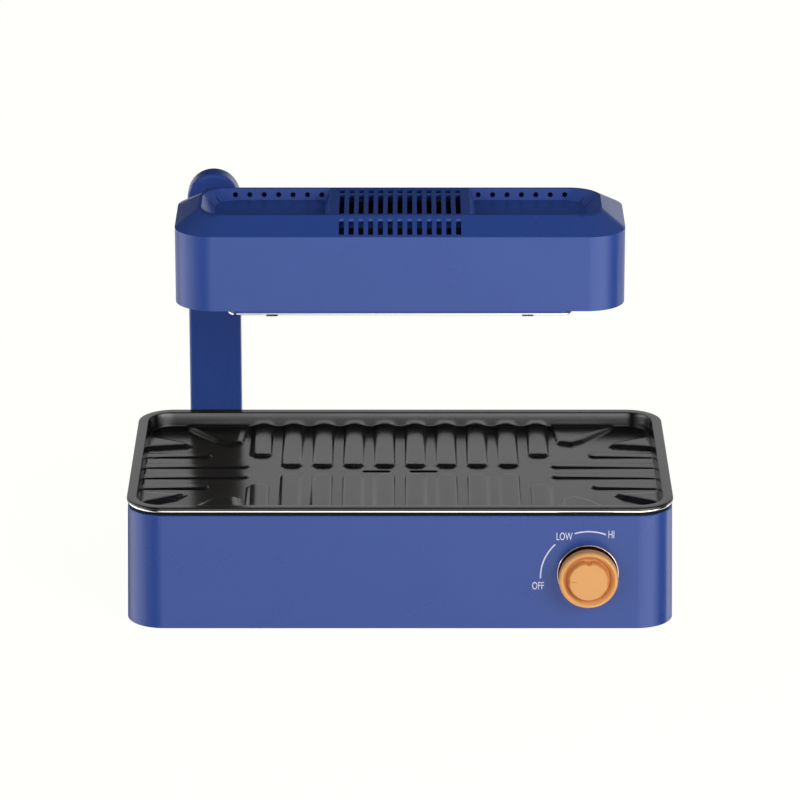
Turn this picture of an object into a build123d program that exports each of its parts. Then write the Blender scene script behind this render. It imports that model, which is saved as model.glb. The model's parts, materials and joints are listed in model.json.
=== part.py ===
from build123d import *
import os
from math import atan2, cos, degrees, radians, sin

os.makedirs("parts", exist_ok=True)

# Frame: X runs to the right, Y to the back and Z up from the standing plane, in millimetres

# Base outline and the stack of heights from the standing plane to the pan's rim
pan_length = 430.0
pan_depth = 240.0
pan_corner_radius = 29.0
stand_height = 2.0
shell_height = 93.5
seat_height = 2.8
tray_rim_height = 2.0
pan_flange = 1.9
head_gap = 142.1
pivot_rise = 38.4
cut_overrun = 5.0

# Walls and gaps between the nested outlines, from the outside inwards
shell_inset = 0.75
shell_flare = 1.5
shell_wall = 2.5
seat_fit = 0.2
seat_lip = 0.9
tray_fit = 0.45
tray_sheet = 0.6
pan_fit = 0.6
pan_wall = 2.0

# General clearances and screws
running_gap = 0.05
body_gap = 0.3
hole_gap = 0.3
screw_radius = 1.9
screw_head_radius = 3.6
screw_head_height = 2.2
screw_length = 12.0
screw_slot = 0.9

shell_low = stand_height
shell_top = shell_low + shell_height
tray_flange_low = shell_top + seat_height
pan_flange_low = tray_flange_low + tray_rim_height
rim_top = pan_flange_low + pan_flange
head_low = rim_top + head_gap
pivot_z = head_low + pivot_rise
shell_inner_inset = shell_inset + shell_wall
seat_lip_inset = shell_inner_inset + seat_fit
tray_outer_inset = seat_lip_inset + seat_lip + tray_fit
tray_inner_inset = tray_outer_inset + tray_sheet
pan_outer_inset = tray_inner_inset + pan_fit
pan_inner_inset = pan_outer_inset + pan_wall

left_right = (-1, 1)
four_corners = [(side, end) for side in left_right for end in left_right]


def plan_outline(inset: float, mode: Mode = Mode.ADD):
    """Draw the rounded outline that pan, tray and base share, moved inwards by inset."""
    RectangleRounded(
        pan_length - 2 * inset, pan_depth - 2 * inset, pan_corner_radius - inset, mode=mode
    )


def block(low: tuple, high: tuple, mode: Mode = Mode.ADD):
    """Add or cut a box between its low and high corners."""
    with Locations(tuple((a + b) / 2 for a, b in zip(low, high))):
        Box(*(b - a for a, b in zip(low, high)), mode=mode)


def rod(start: tuple, end: tuple, radius: float, mode: Mode = Mode.ADD):
    """Add or cut a round rod from start to end."""
    run = Vector(*end) - Vector(*start)
    with Locations(Plane(origin=start, z_dir=run)):
        Cylinder(radius, run.length, align=(Align.CENTER, Align.CENTER, Align.MIN), mode=mode)


def front_plane(y: float) -> Plane:
    """Upright plane at depth y, with sketch axes along X and Z and its normal to the front."""
    return Plane(origin=(0, y, 0), x_dir=(1, 0, 0), z_dir=(0, -1, 0))


def screw(shank_length: float, radius: float = screw_radius) -> Part:
    """Pan-head screw along Z: the head stands above the origin and the shank hangs below it."""
    with BuildPart() as piece:
        with BuildSketch():
            Circle(radius * screw_head_radius / screw_radius)
        extrude(amount=screw_head_height)
        fillet(piece.edges().group_by(Axis.Z)[-1], screw_head_height / 2)
        with BuildSketch():
            Circle(radius)
        extrude(amount=-shank_length)
        with BuildSketch(Plane.XY.offset(screw_head_height)):
            Rectangle(radius * 2, screw_slot)
            Rectangle(screw_slot, radius * 2)
        extrude(amount=-screw_head_height / 2, mode=Mode.SUBTRACT)
    return piece.part


# Base shell: a moulded box, open below, with pads for knob, inlet and arm and four corner bosses
shell_edge_radius = 0.8
bottom_plate_recess = 2.0
bottom_plate_sheet = 1.5
bottom_plate_fit = 0.5
boss_radius = 5.0
boss_inset = 26.0
boss_rib = 2.5
partition_drop = 26.0
partition_sheet = 1.0
partition_fit = 1.0

knob_end_inset = 67.6
knob_rise = 46.3
knob_pad_radius = 23.2
knob_pad_depth = 5.25
bushing_radius = 4.8

inlet_end_inset = 65.0
inlet_rise = 36.0
inlet_pad_length = 58.0
inlet_pad_height = 34.0
inlet_pad_depth = 4.75
inlet_body_length = 27.0
inlet_body_height = 20.0
inlet_screw_spread = 20.0
inlet_screw_length = 8.0

arm_end_inset = 62.6
arm_radius = 21.2
arm_stand_off = 1.25
arm_pad_width = 40.0
arm_pad_rise = 10.0
arm_pad_drop = 3.5
arm_pad_inner = 0.25
arm_bolt_radius = 2.5
arm_bolt_spread = 10.0
arm_bolt_inset = 10.0

partition_low = shell_top - partition_drop
knob_x = pan_length / 2 - knob_end_inset
knob_z = shell_low + knob_rise
inlet_x = pan_length / 2 - inlet_end_inset
inlet_z = shell_low + inlet_rise
arm_x = arm_end_inset - pan_length / 2
arm_pad_low = shell_low + arm_pad_rise
arm_pad_high = partition_low - arm_pad_drop
arm_bolt_low = arm_pad_low + arm_bolt_inset
arm_bolt_high = arm_pad_high - arm_bolt_inset
shell_bottom_half_depth = pan_depth / 2 - shell_inset + shell_flare
knob_seat_y = -shell_bottom_half_depth
knob_pad_inner_y = knob_seat_y + knob_pad_depth
inlet_seat_y = shell_bottom_half_depth
inlet_pad_inner_y = inlet_seat_y - inlet_pad_depth
arm_front_y = shell_bottom_half_depth + arm_stand_off
bracket_seat_y = pan_depth / 2 - shell_inner_inset - arm_pad_inner
bottom_plate_low = shell_low + bottom_plate_recess
bottom_plate_top = bottom_plate_low + bottom_plate_sheet
boss_x = pan_length / 2 - boss_inset
boss_y = pan_depth / 2 - boss_inset
boss_places = [(side * boss_x, end * boss_y) for side, end in four_corners]
arm_bolt_places = [
    (arm_x + side * arm_bolt_spread, z) for side in left_right for z in (arm_bolt_low, arm_bolt_high)
]
inlet_screw_places = [(inlet_x + side * inlet_screw_spread, inlet_z) for side in left_right]

with BuildPart() as base_shell:
    with BuildSketch(Plane.XY.offset(shell_low)):
        plan_outline(shell_inset - shell_flare)
    with BuildSketch(Plane.XY.offset(shell_top)):
        plan_outline(shell_inset)
    loft()
    fillet(base_shell.edges().group_by(Axis.Z)[-1], shell_edge_radius)
    with BuildSketch(Plane.XY.offset(shell_low)):
        plan_outline(shell_inner_inset - shell_flare)
    with BuildSketch(Plane.XY.offset(shell_top)):
        plan_outline(shell_inner_inset)
    loft(mode=Mode.SUBTRACT)
    for x, y in boss_places:
        side = 1 if x > 0 else -1
        end = 1 if y > 0 else -1
        wall_x = side * (pan_length / 2 - shell_inner_inset + shell_wall / 2)
        wall_y = end * (pan_depth / 2 - shell_inner_inset + shell_wall / 2)
        rod((x, y, bottom_plate_top), (x, y, partition_low), boss_radius)
        block(
            (min(x, wall_x), y - boss_rib / 2, bottom_plate_top),
            (max(x, wall_x), y + boss_rib / 2, partition_low),
        )
        block(
            (x - boss_rib / 2, min(y, wall_y), bottom_plate_top),
            (x + boss_rib / 2, max(y, wall_y), partition_low),
        )
        rod(
            (x, y, bottom_plate_top - cut_overrun),
            (x, y, bottom_plate_top + screw_length),
            screw_radius + running_gap,
            mode=Mode.SUBTRACT,
        )
        rod(
            (x, y, partition_low + cut_overrun),
            (x, y, partition_low - screw_length),
            screw_radius + running_gap,
            mode=Mode.SUBTRACT,
        )
    rod((knob_x, knob_seat_y, knob_z), (knob_x, knob_pad_inner_y, knob_z), knob_pad_radius)
    rod(
        (knob_x, knob_seat_y - cut_overrun, knob_z),
        (knob_x, knob_pad_inner_y + cut_overrun, knob_z),
        bushing_radius + hole_gap,
        mode=Mode.SUBTRACT,
    )
    block(
        (inlet_x - inlet_pad_length / 2, inlet_pad_inner_y, inlet_z - inlet_pad_height / 2),
        (inlet_x + inlet_pad_length / 2, inlet_seat_y, inlet_z + inlet_pad_height / 2),
    )
    block(
        (
            inlet_x - inlet_body_length / 2 - hole_gap,
            inlet_pad_inner_y - cut_overrun,
            inlet_z - inlet_body_height / 2 - hole_gap,
        ),
        (
            inlet_x + inlet_body_length / 2 + hole_gap,
            inlet_seat_y + cut_overrun,
            inlet_z + inlet_body_height / 2 + hole_gap,
        ),
        mode=Mode.SUBTRACT,
    )
    for x, z in inlet_screw_places:
        rod(
            (x, inlet_pad_inner_y - cut_overrun, z),
            (x, inlet_seat_y + cut_overrun, z),
            screw_radius + running_gap,
            mode=Mode.SUBTRACT,
        )
    block(
        (arm_x - arm_pad_width / 2, bracket_seat_y, arm_pad_low),
        (arm_x + arm_pad_width / 2, arm_front_y, arm_pad_high),
    )
    for x, z in arm_bolt_places:
        rod(
            (x, bracket_seat_y - cut_overrun, z),
            (x, arm_front_y + cut_overrun, z),
            arm_bolt_radius + hole_gap,
            mode=Mode.SUBTRACT,
        )
base_shell.part.label = "base_shell"
export_step(base_shell.part, "parts/base_shell.step")

# Bottom plate: sheet steel inside the shell's lower edge, with rows of vent slots
foot_inset_x = 48.0
foot_inset_y = 42.0
foot_stud_radius = 2.5
vent_slot_length = 26.0
vent_slot_width = 4.0
vent_pitch = 11.0
vent_end_inset = 155.0
vent_side_inset = 81.0

vent_row_spread = pan_depth - 2 * vent_side_inset
vent_count = 1 + 2 * int((pan_length / 2 - vent_end_inset) / vent_pitch)
foot_places = [
    (side * (pan_length / 2 - foot_inset_x), end * (pan_depth / 2 - foot_inset_y))
    for side, end in four_corners
]

with BuildPart() as base_plate:
    with BuildSketch(Plane.XY.offset(bottom_plate_low)):
        plan_outline(shell_inner_inset - shell_flare + bottom_plate_fit)
        with Locations(*boss_places):
            Circle(screw_radius + hole_gap, mode=Mode.SUBTRACT)
        with Locations(*foot_places):
            Circle(foot_stud_radius + running_gap, mode=Mode.SUBTRACT)
        with GridLocations(vent_pitch, vent_row_spread, vent_count, 2):
            SlotOverall(vent_slot_length, vent_slot_width, rotation=90, mode=Mode.SUBTRACT)
    extrude(amount=bottom_plate_sheet)
base_plate.part.label = "base_plate"
export_step(base_plate.part, "parts/base_plate.step")

upright_screw = screw(screw_length)
with BuildPart() as base_plate_screws:
    with Locations(*[Location((x, y, bottom_plate_low), (180, 0, 0)) for x, y in boss_places]):
        add(upright_screw)
base_plate_screws.part.label = "base_plate_screws"
export_step(base_plate_screws.part, "parts/base_plate_screws.step")

# Rubber feet: four pads under the bottom plate, each with a stud through it
foot_radius = 9.0
foot_edge = 1.0

for number, (x, y) in enumerate(foot_places, start=1):
    with BuildPart() as foot:
        rod((x, y, 0), (x, y, bottom_plate_low), foot_radius)
        chamfer(foot.edges().group_by(Axis.Z)[0], foot_edge)
        rod((x, y, bottom_plate_low), (x, y, bottom_plate_top), foot_stud_radius)
    foot.part.label = f"foot_{number}"
    export_step(foot.part, f"parts/foot_{number}.step")

# Partition plate: closes the wiring space below the drip tray and rests on the corner bosses
with BuildPart() as partition_plate:
    with BuildSketch(Plane.XY.offset(partition_low)):
        plan_outline(shell_inner_inset + partition_fit)
        with Locations(*boss_places):
            Circle(screw_radius + hole_gap, mode=Mode.SUBTRACT)
    extrude(amount=partition_sheet)
partition_plate.part.label = "partition_plate"
export_step(partition_plate.part, "parts/partition_plate.step")

with BuildPart() as partition_screws:
    with Locations(*[(x, y, partition_low + partition_sheet) for x, y in boss_places]):
        add(upright_screw)
partition_screws.part.label = "partition_screws"
export_step(partition_screws.part, "parts/partition_screws.step")

# Seat ring: a black ring on the shell's top edge, with a lip down inside the wall
seat_setback = 1.25
seat_lip_drop = 4.0

with BuildPart() as seat_ring:
    with BuildSketch(Plane.XY.offset(shell_top)):
        plan_outline(shell_inset + seat_setback)
        plan_outline(seat_lip_inset + seat_lip, mode=Mode.SUBTRACT)
    extrude(amount=seat_height)
    with BuildSketch(Plane.XY.offset(shell_top)):
        plan_outline(seat_lip_inset)
        plan_outline(seat_lip_inset + seat_lip, mode=Mode.SUBTRACT)
    extrude(amount=-seat_lip_drop)
seat_ring.part.label = "seat_ring"
export_step(seat_ring.part, "parts/seat_ring.step")

# Drip tray: pressed sheet with a deep turned edge that shows as a bright line under the pan
tray_edge_inset = 0.4
tray_hem = 3.0
tray_floor_gap = 3.5
tray_corner_radius = 6.0

tray_floor_low = partition_low + partition_sheet + tray_floor_gap

with BuildPart() as tray_hollow:
    with BuildSketch(Plane.XY.offset(tray_floor_low + tray_sheet)):
        plan_outline(tray_inner_inset)
    extrude(amount=pan_flange_low - tray_floor_low)
    fillet(tray_hollow.edges().group_by(Axis.Z)[0], tray_corner_radius - tray_sheet)

with BuildPart() as drip_tray:
    with BuildSketch(Plane.XY.offset(tray_floor_low)):
        plan_outline(tray_outer_inset)
    extrude(amount=tray_flange_low - tray_floor_low)
    fillet(drip_tray.edges().group_by(Axis.Z)[0], tray_corner_radius)
    with BuildSketch(Plane.XY.offset(tray_flange_low)):
        plan_outline(tray_edge_inset)
    extrude(amount=tray_rim_height)
    with BuildSketch(Plane.XY.offset(tray_flange_low + tray_sheet)):
        plan_outline(tray_edge_inset + tray_hem)
    extrude(amount=tray_rim_height, mode=Mode.SUBTRACT)
    add(tray_hollow.part, mode=Mode.SUBTRACT)
drip_tray.part.label = "drip_tray"
export_step(drip_tray.part, "parts/drip_tray.step")

# Grill pan: a black plate with a flat rim, a shallow well, ribs and two drain slots
well_depth = 12.0
well_draft = 2.0
well_corner_radius = 4.0
pan_floor = 2.5
pan_edge_radius = 0.8
pan_lip_radius = 1.5
rib_height = 3.5
rib_run = 2.5
rib_pitch = 25.0
rib_end_inset = 90.0
rib_width = 16.8
rib_gap = 10.0
outer_rib_gap = 35.0
end_rib_width = 12.4
end_rib_lengths = (83.0, 51.5)
end_rib_pitch = 25.0
drain_slot_x = 19.0
drain_slot_length = 23.0
drain_slot_width = 4.0

# Corner ribs in shares of the well's half length and half depth: one on the long wall, one on the end wall
long_wall_rib_shares = ((0.635, 0.6), (0.73, 0.6), (0.86, 1.015), (0.63, 1.015))
end_wall_rib_shares = ((0.84, 0.53), (1.008, 0.5), (1.008, 0.75), (0.84, 0.63))

valley = rim_top - well_depth
pan_low = valley - pan_floor
pan_half_length = pan_length / 2 - pan_inner_inset - well_draft
pan_half_depth = pan_depth / 2 - pan_inner_inset - well_draft
rib_taper = degrees(atan2(rib_run, rib_height))
rib_reach_x = pan_half_length + pan_wall
rib_reach_y = pan_half_depth + pan_wall
ribs_a_side = int((pan_length / 2 - rib_end_inset) / rib_pitch)

with BuildPart() as pan_well:
    with BuildSketch(Plane.XY.offset(valley)):
        plan_outline(pan_inner_inset + well_draft)
    with BuildSketch(Plane.XY.offset(rim_top)):
        plan_outline(pan_inner_inset)
    loft()
    fillet(pan_well.edges().group_by(Axis.Z)[0], well_corner_radius)

with BuildPart() as pan_ribs:
    # Middle ribs run front to back from the long wall and stop short of the drain line
    for index in range(ribs_a_side):
        x = (index + 0.5) * rib_pitch
        gap = outer_rib_gap if index == ribs_a_side - 1 else rib_gap
        tip = gap + rib_width / 2
        with BuildSketch(Plane.XY.offset(valley)):
            with Locations((x, tip)):
                Circle(rib_width / 2)
            with Locations((x, (tip + rib_reach_y) / 2)):
                Rectangle(rib_width, rib_reach_y - tip)
        extrude(amount=rib_height, taper=rib_taper)

    # End ribs run inwards from the end wall
    for index, end_rib_length in enumerate(end_rib_lengths):
        y = (index + 0.5) * end_rib_pitch
        tip = pan_half_length - end_rib_length + end_rib_width / 2
        with BuildSketch(Plane.XY.offset(valley)):
            with Locations((tip, y)):
                Circle(end_rib_width / 2)
            with Locations(((tip + rib_reach_x) / 2, y)):
                Rectangle(rib_reach_x - tip, end_rib_width)
        extrude(amount=rib_height, taper=rib_taper)

    # Corner ribs widen towards the wall that they grow from
    for shares in (long_wall_rib_shares, end_wall_rib_shares):
        with BuildSketch(Plane.XY.offset(valley)) as corner_rib:
            with BuildLine():
                Polyline(*[(a * pan_half_length, b * pan_half_depth) for a, b in shares], close=True)
            make_face()
            fillet(corner_rib.vertices(), rib_run)
        extrude(amount=rib_height, taper=rib_taper)
    mirror(about=Plane.XZ)
    mirror(about=Plane.YZ)

with BuildPart() as grill_pan:
    with BuildSketch(Plane.XY.offset(pan_low)):
        plan_outline(pan_outer_inset + well_draft)
    with BuildSketch(Plane.XY.offset(pan_flange_low)):
        plan_outline(pan_outer_inset)
    loft()
    fillet(grill_pan.edges().group_by(Axis.Z)[0], pan_floor)
    with BuildSketch(Plane.XY.offset(pan_flange_low)):
        plan_outline(0)
    extrude(amount=pan_flange)
    fillet(grill_pan.edges().group_by(Axis.Z)[-1], pan_edge_radius)
    add(pan_well.part, mode=Mode.SUBTRACT)
    fillet(grill_pan.edges().group_by(Axis.Z)[-1].sort_by(SortBy.LENGTH)[:8], pan_lip_radius)
    add(pan_ribs.part)
    with BuildSketch(Plane.XY.offset(valley)):
        with Locations(*[(side * drain_slot_x, 0) for side in left_right]):
            SlotOverall(drain_slot_length, drain_slot_width)
    extrude(amount=-2 * pan_floor, mode=Mode.SUBTRACT)
grill_pan.part.label = "grill_pan"
export_step(grill_pan.part, "parts/grill_pan.step")

# Knob bezel: a metal ring on the knob pad, with a hole for the switch nut
bezel_radius = 24.0
bezel_sheet = 2.0
bezel_edge = 0.6
bezel_hole_radius = 9.0

bezel_front_y = knob_seat_y - bezel_sheet

with BuildPart() as knob_bezel:
    rod((knob_x, knob_seat_y, knob_z), (knob_x, bezel_front_y, knob_z), bezel_radius)
    fillet(knob_bezel.edges().group_by(Axis.Y)[0], bezel_edge)
    rod(
        (knob_x, knob_seat_y + cut_overrun, knob_z),
        (knob_x, bezel_front_y - cut_overrun, knob_z),
        bezel_hole_radius,
        mode=Mode.SUBTRACT,
    )
knob_bezel.part.label = "knob_bezel"
export_step(knob_bezel.part, "parts/knob_bezel.step")

# Rotary switch: a square body behind the pad, with a bushing through the wall and four blades
switch_width = 32.0
switch_depth = 20.0
switch_bore_depth = 14.0
bushing_length = 10.5
switch_shaft_radius = 3.0
switch_flat = 1.0
blade_length = 8.0
blade_width = 6.3
blade_sheet = 0.8
blade_spread = 16.0
nut_width = 14.0
nut_height = 2.4

switch_back_y = knob_pad_inner_y + switch_depth
bushing_end_y = knob_pad_inner_y - bushing_length
shaft_back_y = knob_pad_inner_y + switch_bore_depth - body_gap

with BuildPart() as rotary_switch:
    block(
        (knob_x - switch_width / 2, knob_pad_inner_y, knob_z - switch_width / 2),
        (knob_x + switch_width / 2, switch_back_y, knob_z + switch_width / 2),
    )
    rod((knob_x, knob_pad_inner_y, knob_z), (knob_x, bushing_end_y, knob_z), bushing_radius)
    for side, end in four_corners:
        blade_x = knob_x + side * blade_spread / 2
        blade_z = knob_z + end * blade_spread / 2
        block(
            (blade_x - blade_sheet / 2, switch_back_y, blade_z - blade_width / 2),
            (blade_x + blade_sheet / 2, switch_back_y + blade_length, blade_z + blade_width / 2),
        )
    rod(
        (knob_x, bushing_end_y - cut_overrun, knob_z),
        (knob_x, knob_pad_inner_y + switch_bore_depth, knob_z),
        switch_shaft_radius + running_gap,
        mode=Mode.SUBTRACT,
    )
rotary_switch.part.label = "rotary_switch"
export_step(rotary_switch.part, "parts/rotary_switch.step")

with BuildPart() as switch_nut:
    with BuildSketch(front_plane(knob_seat_y)):
        with Locations((knob_x, knob_z)):
            RegularPolygon(nut_width / 2, 6, major_radius=False)
            Circle(bushing_radius + running_gap, mode=Mode.SUBTRACT)
    extrude(amount=nut_height)
switch_nut.part.label = "switch_nut"
export_step(switch_nut.part, "parts/switch_nut.step")

# Control knob: a copper-coloured skirt with a dished face and a fluted grip, on a flatted shaft
skirt_radius = 23.2
skirt_height = 15.0
skirt_edge_radius = 1.4
skirt_dish = 2.5
skirt_dish_width = 6.4
grip_radius = 15.4
grip_height = 18.0
grip_edge_radius = 0.8
flute_radius = 4.0
flute_depth = 1.6
flute_count = 4
knob_hollow_radius = 12.0
knob_hollow_depth = 6.0
cap_radius = 13.2
cap_sheet = 1.2
pointer_length = 3.6
pointer_width = 0.9
pointer_depth = 0.4
pointer_tip_inset = 0.8
shaft_tip_inset = 3.0

knob_back_y = bezel_front_y - body_gap
skirt_front_y = knob_back_y - skirt_height
grip_front_y = knob_back_y - grip_height
cap_back_y = grip_front_y + cap_sheet
shaft_tip_y = grip_front_y + cap_sheet + shaft_tip_inset
skirt_dish_taper = degrees(atan2(skirt_dish_width / 2, skirt_dish))

with BuildPart() as control_knob:
    rod((knob_x, knob_back_y, knob_z), (knob_x, skirt_front_y, knob_z), skirt_radius)
    fillet(control_knob.edges().group_by(Axis.Y)[0], skirt_edge_radius)
    with BuildSketch(front_plane(skirt_front_y)):
        with Locations((knob_x, knob_z)):
            Circle(grip_radius + skirt_dish_width)
    extrude(amount=-skirt_dish, taper=skirt_dish_taper, mode=Mode.SUBTRACT)
    with BuildSketch(front_plane(skirt_front_y + skirt_dish)):
        with Locations((knob_x, knob_z)):
            Circle(grip_radius)
            with PolarLocations(grip_radius + flute_radius - flute_depth, flute_count):
                Circle(flute_radius, mode=Mode.SUBTRACT)
    extrude(amount=skirt_dish + grip_height - skirt_height)
    fillet(control_knob.edges().group_by(Axis.Y)[0], grip_edge_radius)
    rod(
        (knob_x, grip_front_y - cut_overrun, knob_z),
        (knob_x, cap_back_y, knob_z),
        cap_radius + running_gap,
        mode=Mode.SUBTRACT,
    )
    rod(
        (knob_x, knob_back_y + cut_overrun, knob_z),
        (knob_x, knob_back_y - knob_hollow_depth, knob_z),
        knob_hollow_radius,
        mode=Mode.SUBTRACT,
    )
    with BuildSketch(front_plane(knob_back_y)):
        with Locations((knob_x, knob_z)):
            Circle(switch_shaft_radius + running_gap)
        with Locations((knob_x, knob_z + 2 * switch_shaft_radius - switch_flat + running_gap)):
            Rectangle(2 * switch_shaft_radius + cut_overrun, 2 * switch_shaft_radius, mode=Mode.SUBTRACT)
    extrude(amount=knob_back_y - shaft_tip_y + running_gap, mode=Mode.SUBTRACT)
control_knob.part.label = "control_knob"
export_step(control_knob.part, "parts/control_knob.step")

with BuildPart() as knob_cap:
    rod((knob_x, cap_back_y, knob_z), (knob_x, grip_front_y, knob_z), cap_radius)
    pointer_tip_x = knob_x - cap_radius + pointer_tip_inset
    block(
        (pointer_tip_x, grip_front_y - cut_overrun, knob_z - pointer_width / 2),
        (pointer_tip_x + pointer_length, grip_front_y + pointer_depth, knob_z + pointer_width / 2),
        mode=Mode.SUBTRACT,
    )
knob_cap.part.label = "knob_cap"
export_step(knob_cap.part, "parts/knob_cap.step")

with BuildPart() as switch_shaft:
    rod((knob_x, shaft_back_y, knob_z), (knob_x, shaft_tip_y, knob_z), switch_shaft_radius)
    with BuildSketch(front_plane(knob_back_y - knob_hollow_depth)):
        with Locations((knob_x, knob_z + 2 * switch_shaft_radius - switch_flat)):
            Rectangle(2 * switch_shaft_radius + cut_overrun, 2 * switch_shaft_radius)
    extrude(amount=grip_height, mode=Mode.SUBTRACT)
switch_shaft.part.label = "switch_shaft"
export_step(switch_shaft.part, "parts/switch_shaft.step")

# Power inlet: a flanged socket in the rear wall, with three blades and two screws
inlet_flange_length = 50.0
inlet_flange_height = 25.0
inlet_flange_sheet = 3.0
inlet_flange_radius = 3.0
inlet_wall = 1.6
inlet_cavity_depth = 16.0
inlet_pin_width = 2.0
inlet_pin_height = 4.0
inlet_pin_length = 12.0
inlet_pin_spread = 7.0
inlet_pin_drop = 2.0
inlet_earth_rise = 3.0

inlet_front_y = inlet_seat_y + inlet_flange_sheet
inlet_floor_y = inlet_front_y - inlet_cavity_depth
inlet_body_y = inlet_floor_y - inlet_wall
inlet_pin_places = [
    (inlet_x - inlet_pin_spread, inlet_z - inlet_pin_drop),
    (inlet_x + inlet_pin_spread, inlet_z - inlet_pin_drop),
    (inlet_x, inlet_z + inlet_earth_rise),
]

with BuildPart() as power_inlet:
    with BuildSketch(front_plane(inlet_front_y)):
        with Locations((inlet_x, inlet_z)):
            RectangleRounded(inlet_flange_length, inlet_flange_height, inlet_flange_radius)
        with Locations(*inlet_screw_places):
            Circle(screw_radius + hole_gap, mode=Mode.SUBTRACT)
    extrude(amount=inlet_flange_sheet)
    block(
        (inlet_x - inlet_body_length / 2, inlet_body_y, inlet_z - inlet_body_height / 2),
        (inlet_x + inlet_body_length / 2, inlet_seat_y, inlet_z + inlet_body_height / 2),
    )
    block(
        (
            inlet_x - inlet_body_length / 2 + inlet_wall,
            inlet_floor_y,
            inlet_z - inlet_body_height / 2 + inlet_wall,
        ),
        (
            inlet_x + inlet_body_length / 2 - inlet_wall,
            inlet_front_y + cut_overrun,
            inlet_z + inlet_body_height / 2 - inlet_wall,
        ),
        mode=Mode.SUBTRACT,
    )
power_inlet.part.label = "power_inlet"
export_step(power_inlet.part, "parts/power_inlet.step")

with BuildPart() as inlet_pins:
    for x, z in inlet_pin_places:
        block(
            (x - inlet_pin_width / 2, inlet_floor_y, z - inlet_pin_height / 2),
            (x + inlet_pin_width / 2, inlet_floor_y + inlet_pin_length, z + inlet_pin_height / 2),
        )
inlet_pins.part.label = "inlet_pins"
export_step(inlet_pins.part, "parts/inlet_pins.step")

inlet_screw = screw(inlet_screw_length)
with BuildPart() as inlet_screws:
    with Locations(*[Location((x, inlet_front_y, z), (-90, 0, 0)) for x, z in inlet_screw_places]):
        add(inlet_screw)
inlet_screws.part.label = "inlet_screws"
export_step(inlet_screws.part, "parts/inlet_screws.step")

# Terminal block: three clamps in one body on the bottom plate, where the internal leads meet
terminal_end_inset = 125.0
terminal_side_inset = 50.0
terminal_length = 33.0
terminal_depth = 16.0
terminal_height = 14.0
terminal_pitch = 10.0
terminal_count = 3
terminal_bore = 2.6

terminal_x = pan_length / 2 - terminal_end_inset
terminal_y = pan_depth / 2 - terminal_side_inset

with BuildPart() as terminal_block:
    block(
        (terminal_x - terminal_length / 2, terminal_y - terminal_depth / 2, bottom_plate_top),
        (
            terminal_x + terminal_length / 2,
            terminal_y + terminal_depth / 2,
            bottom_plate_top + terminal_height,
        ),
    )
    with Locations((terminal_x, terminal_y, bottom_plate_top + terminal_height)):
        with GridLocations(terminal_pitch, 0, terminal_count, 1):
            Cylinder(terminal_bore, terminal_height, mode=Mode.SUBTRACT)
terminal_block.part.label = "terminal_block"
export_step(terminal_block.part, "parts/terminal_block.step")

# Arm: a steel core between a blue front shell and a rear cover, bolted to a bracket in the base
arm_rise = 6.0
arm_foot_radius = 8.0
arm_wall = 2.5
arm_thickness = 19.05
arm_edge_radius = 2.8
arm_cover_sheet = 2.5
arm_cover_edge = 1.8
arm_core_sheet = 5.0
arm_core_fit = 3.0
bracket_sheet = 3.0
hinge_shaft_radius = 6.0
bush_wall = 2.0
cover_screw_rise = 14.0
cover_screw_drop = 46.7
cover_boss_radius = 4.5
cover_lip = 1.6
cover_lip_depth = 3.0
bracket_foot = 28.0

arm_low = shell_low + arm_rise
cover_screw_low = arm_pad_high + cover_screw_rise
cover_screw_high = pivot_z - cover_screw_drop
arm_back_y = arm_front_y + arm_thickness
arm_cover_y = arm_back_y - arm_cover_sheet
arm_core_front_y = arm_front_y + arm_wall
arm_core_back_y = arm_core_front_y + arm_core_sheet
arm_core_radius = arm_radius - arm_wall - arm_core_fit
bush_radius = hinge_shaft_radius + running_gap + bush_wall
cover_screw_places = [(arm_x, cover_screw_low), (arm_x, cover_screw_high)]
cover_lip_inset = arm_wall + hole_gap
cover_lip_inner = cover_lip_inset + cover_lip


def arm_outline(radius: float, low: float, foot_radius: float):
    """Draw the arm's outline: a round head about the pivot over a straight strip with a soft foot."""
    with Locations((arm_x, pivot_z)):
        Circle(radius)
    with Locations((arm_x, low + (pivot_z - low) / 2)):
        Rectangle(2 * radius, pivot_z - low)
    for side in left_right:
        with Locations((arm_x + side * (radius - foot_radius / 2), low + foot_radius / 2)):
            Rectangle(foot_radius, foot_radius, mode=Mode.SUBTRACT)
        with Locations((arm_x + side * (radius - foot_radius), low + foot_radius)):
            Circle(foot_radius)


with BuildPart() as arm_front_shell:
    with BuildSketch(front_plane(arm_cover_y)):
        arm_outline(arm_radius, arm_low, arm_foot_radius)
    extrude(amount=arm_cover_y - arm_front_y)
    fillet(arm_front_shell.edges().group_by(Axis.Y)[0], arm_edge_radius)
    with BuildSketch(front_plane(arm_cover_y)):
        arm_outline(arm_radius - arm_wall, arm_low + arm_wall, arm_foot_radius - arm_wall)
    extrude(amount=arm_cover_y - arm_core_front_y, mode=Mode.SUBTRACT)
    rod(
        (arm_x, arm_front_y - cut_overrun, pivot_z),
        (arm_x, arm_cover_y, pivot_z),
        bush_radius + body_gap,
        mode=Mode.SUBTRACT,
    )
    for x, z in arm_bolt_places:
        rod(
            (x, arm_front_y - cut_overrun, z),
            (x, arm_cover_y, z),
            arm_bolt_radius + hole_gap,
            mode=Mode.SUBTRACT,
        )
arm_front_shell.part.label = "arm_front_shell"
export_step(arm_front_shell.part, "parts/arm_front_shell.step")

stop_disc_radius = 14.0
stop_disc_sheet = 3.0
stop_track_radius = 10.5
stop_pin_radius = 2.0
stop_pin_angle = 135.0
head_swing = 90.0

stop_disc_front_y = arm_core_back_y + body_gap
stop_disc_back_y = stop_disc_front_y + stop_disc_sheet
stop_pin_x = arm_x + stop_track_radius * cos(radians(stop_pin_angle))
stop_pin_z = pivot_z + stop_track_radius * sin(radians(stop_pin_angle))

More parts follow.
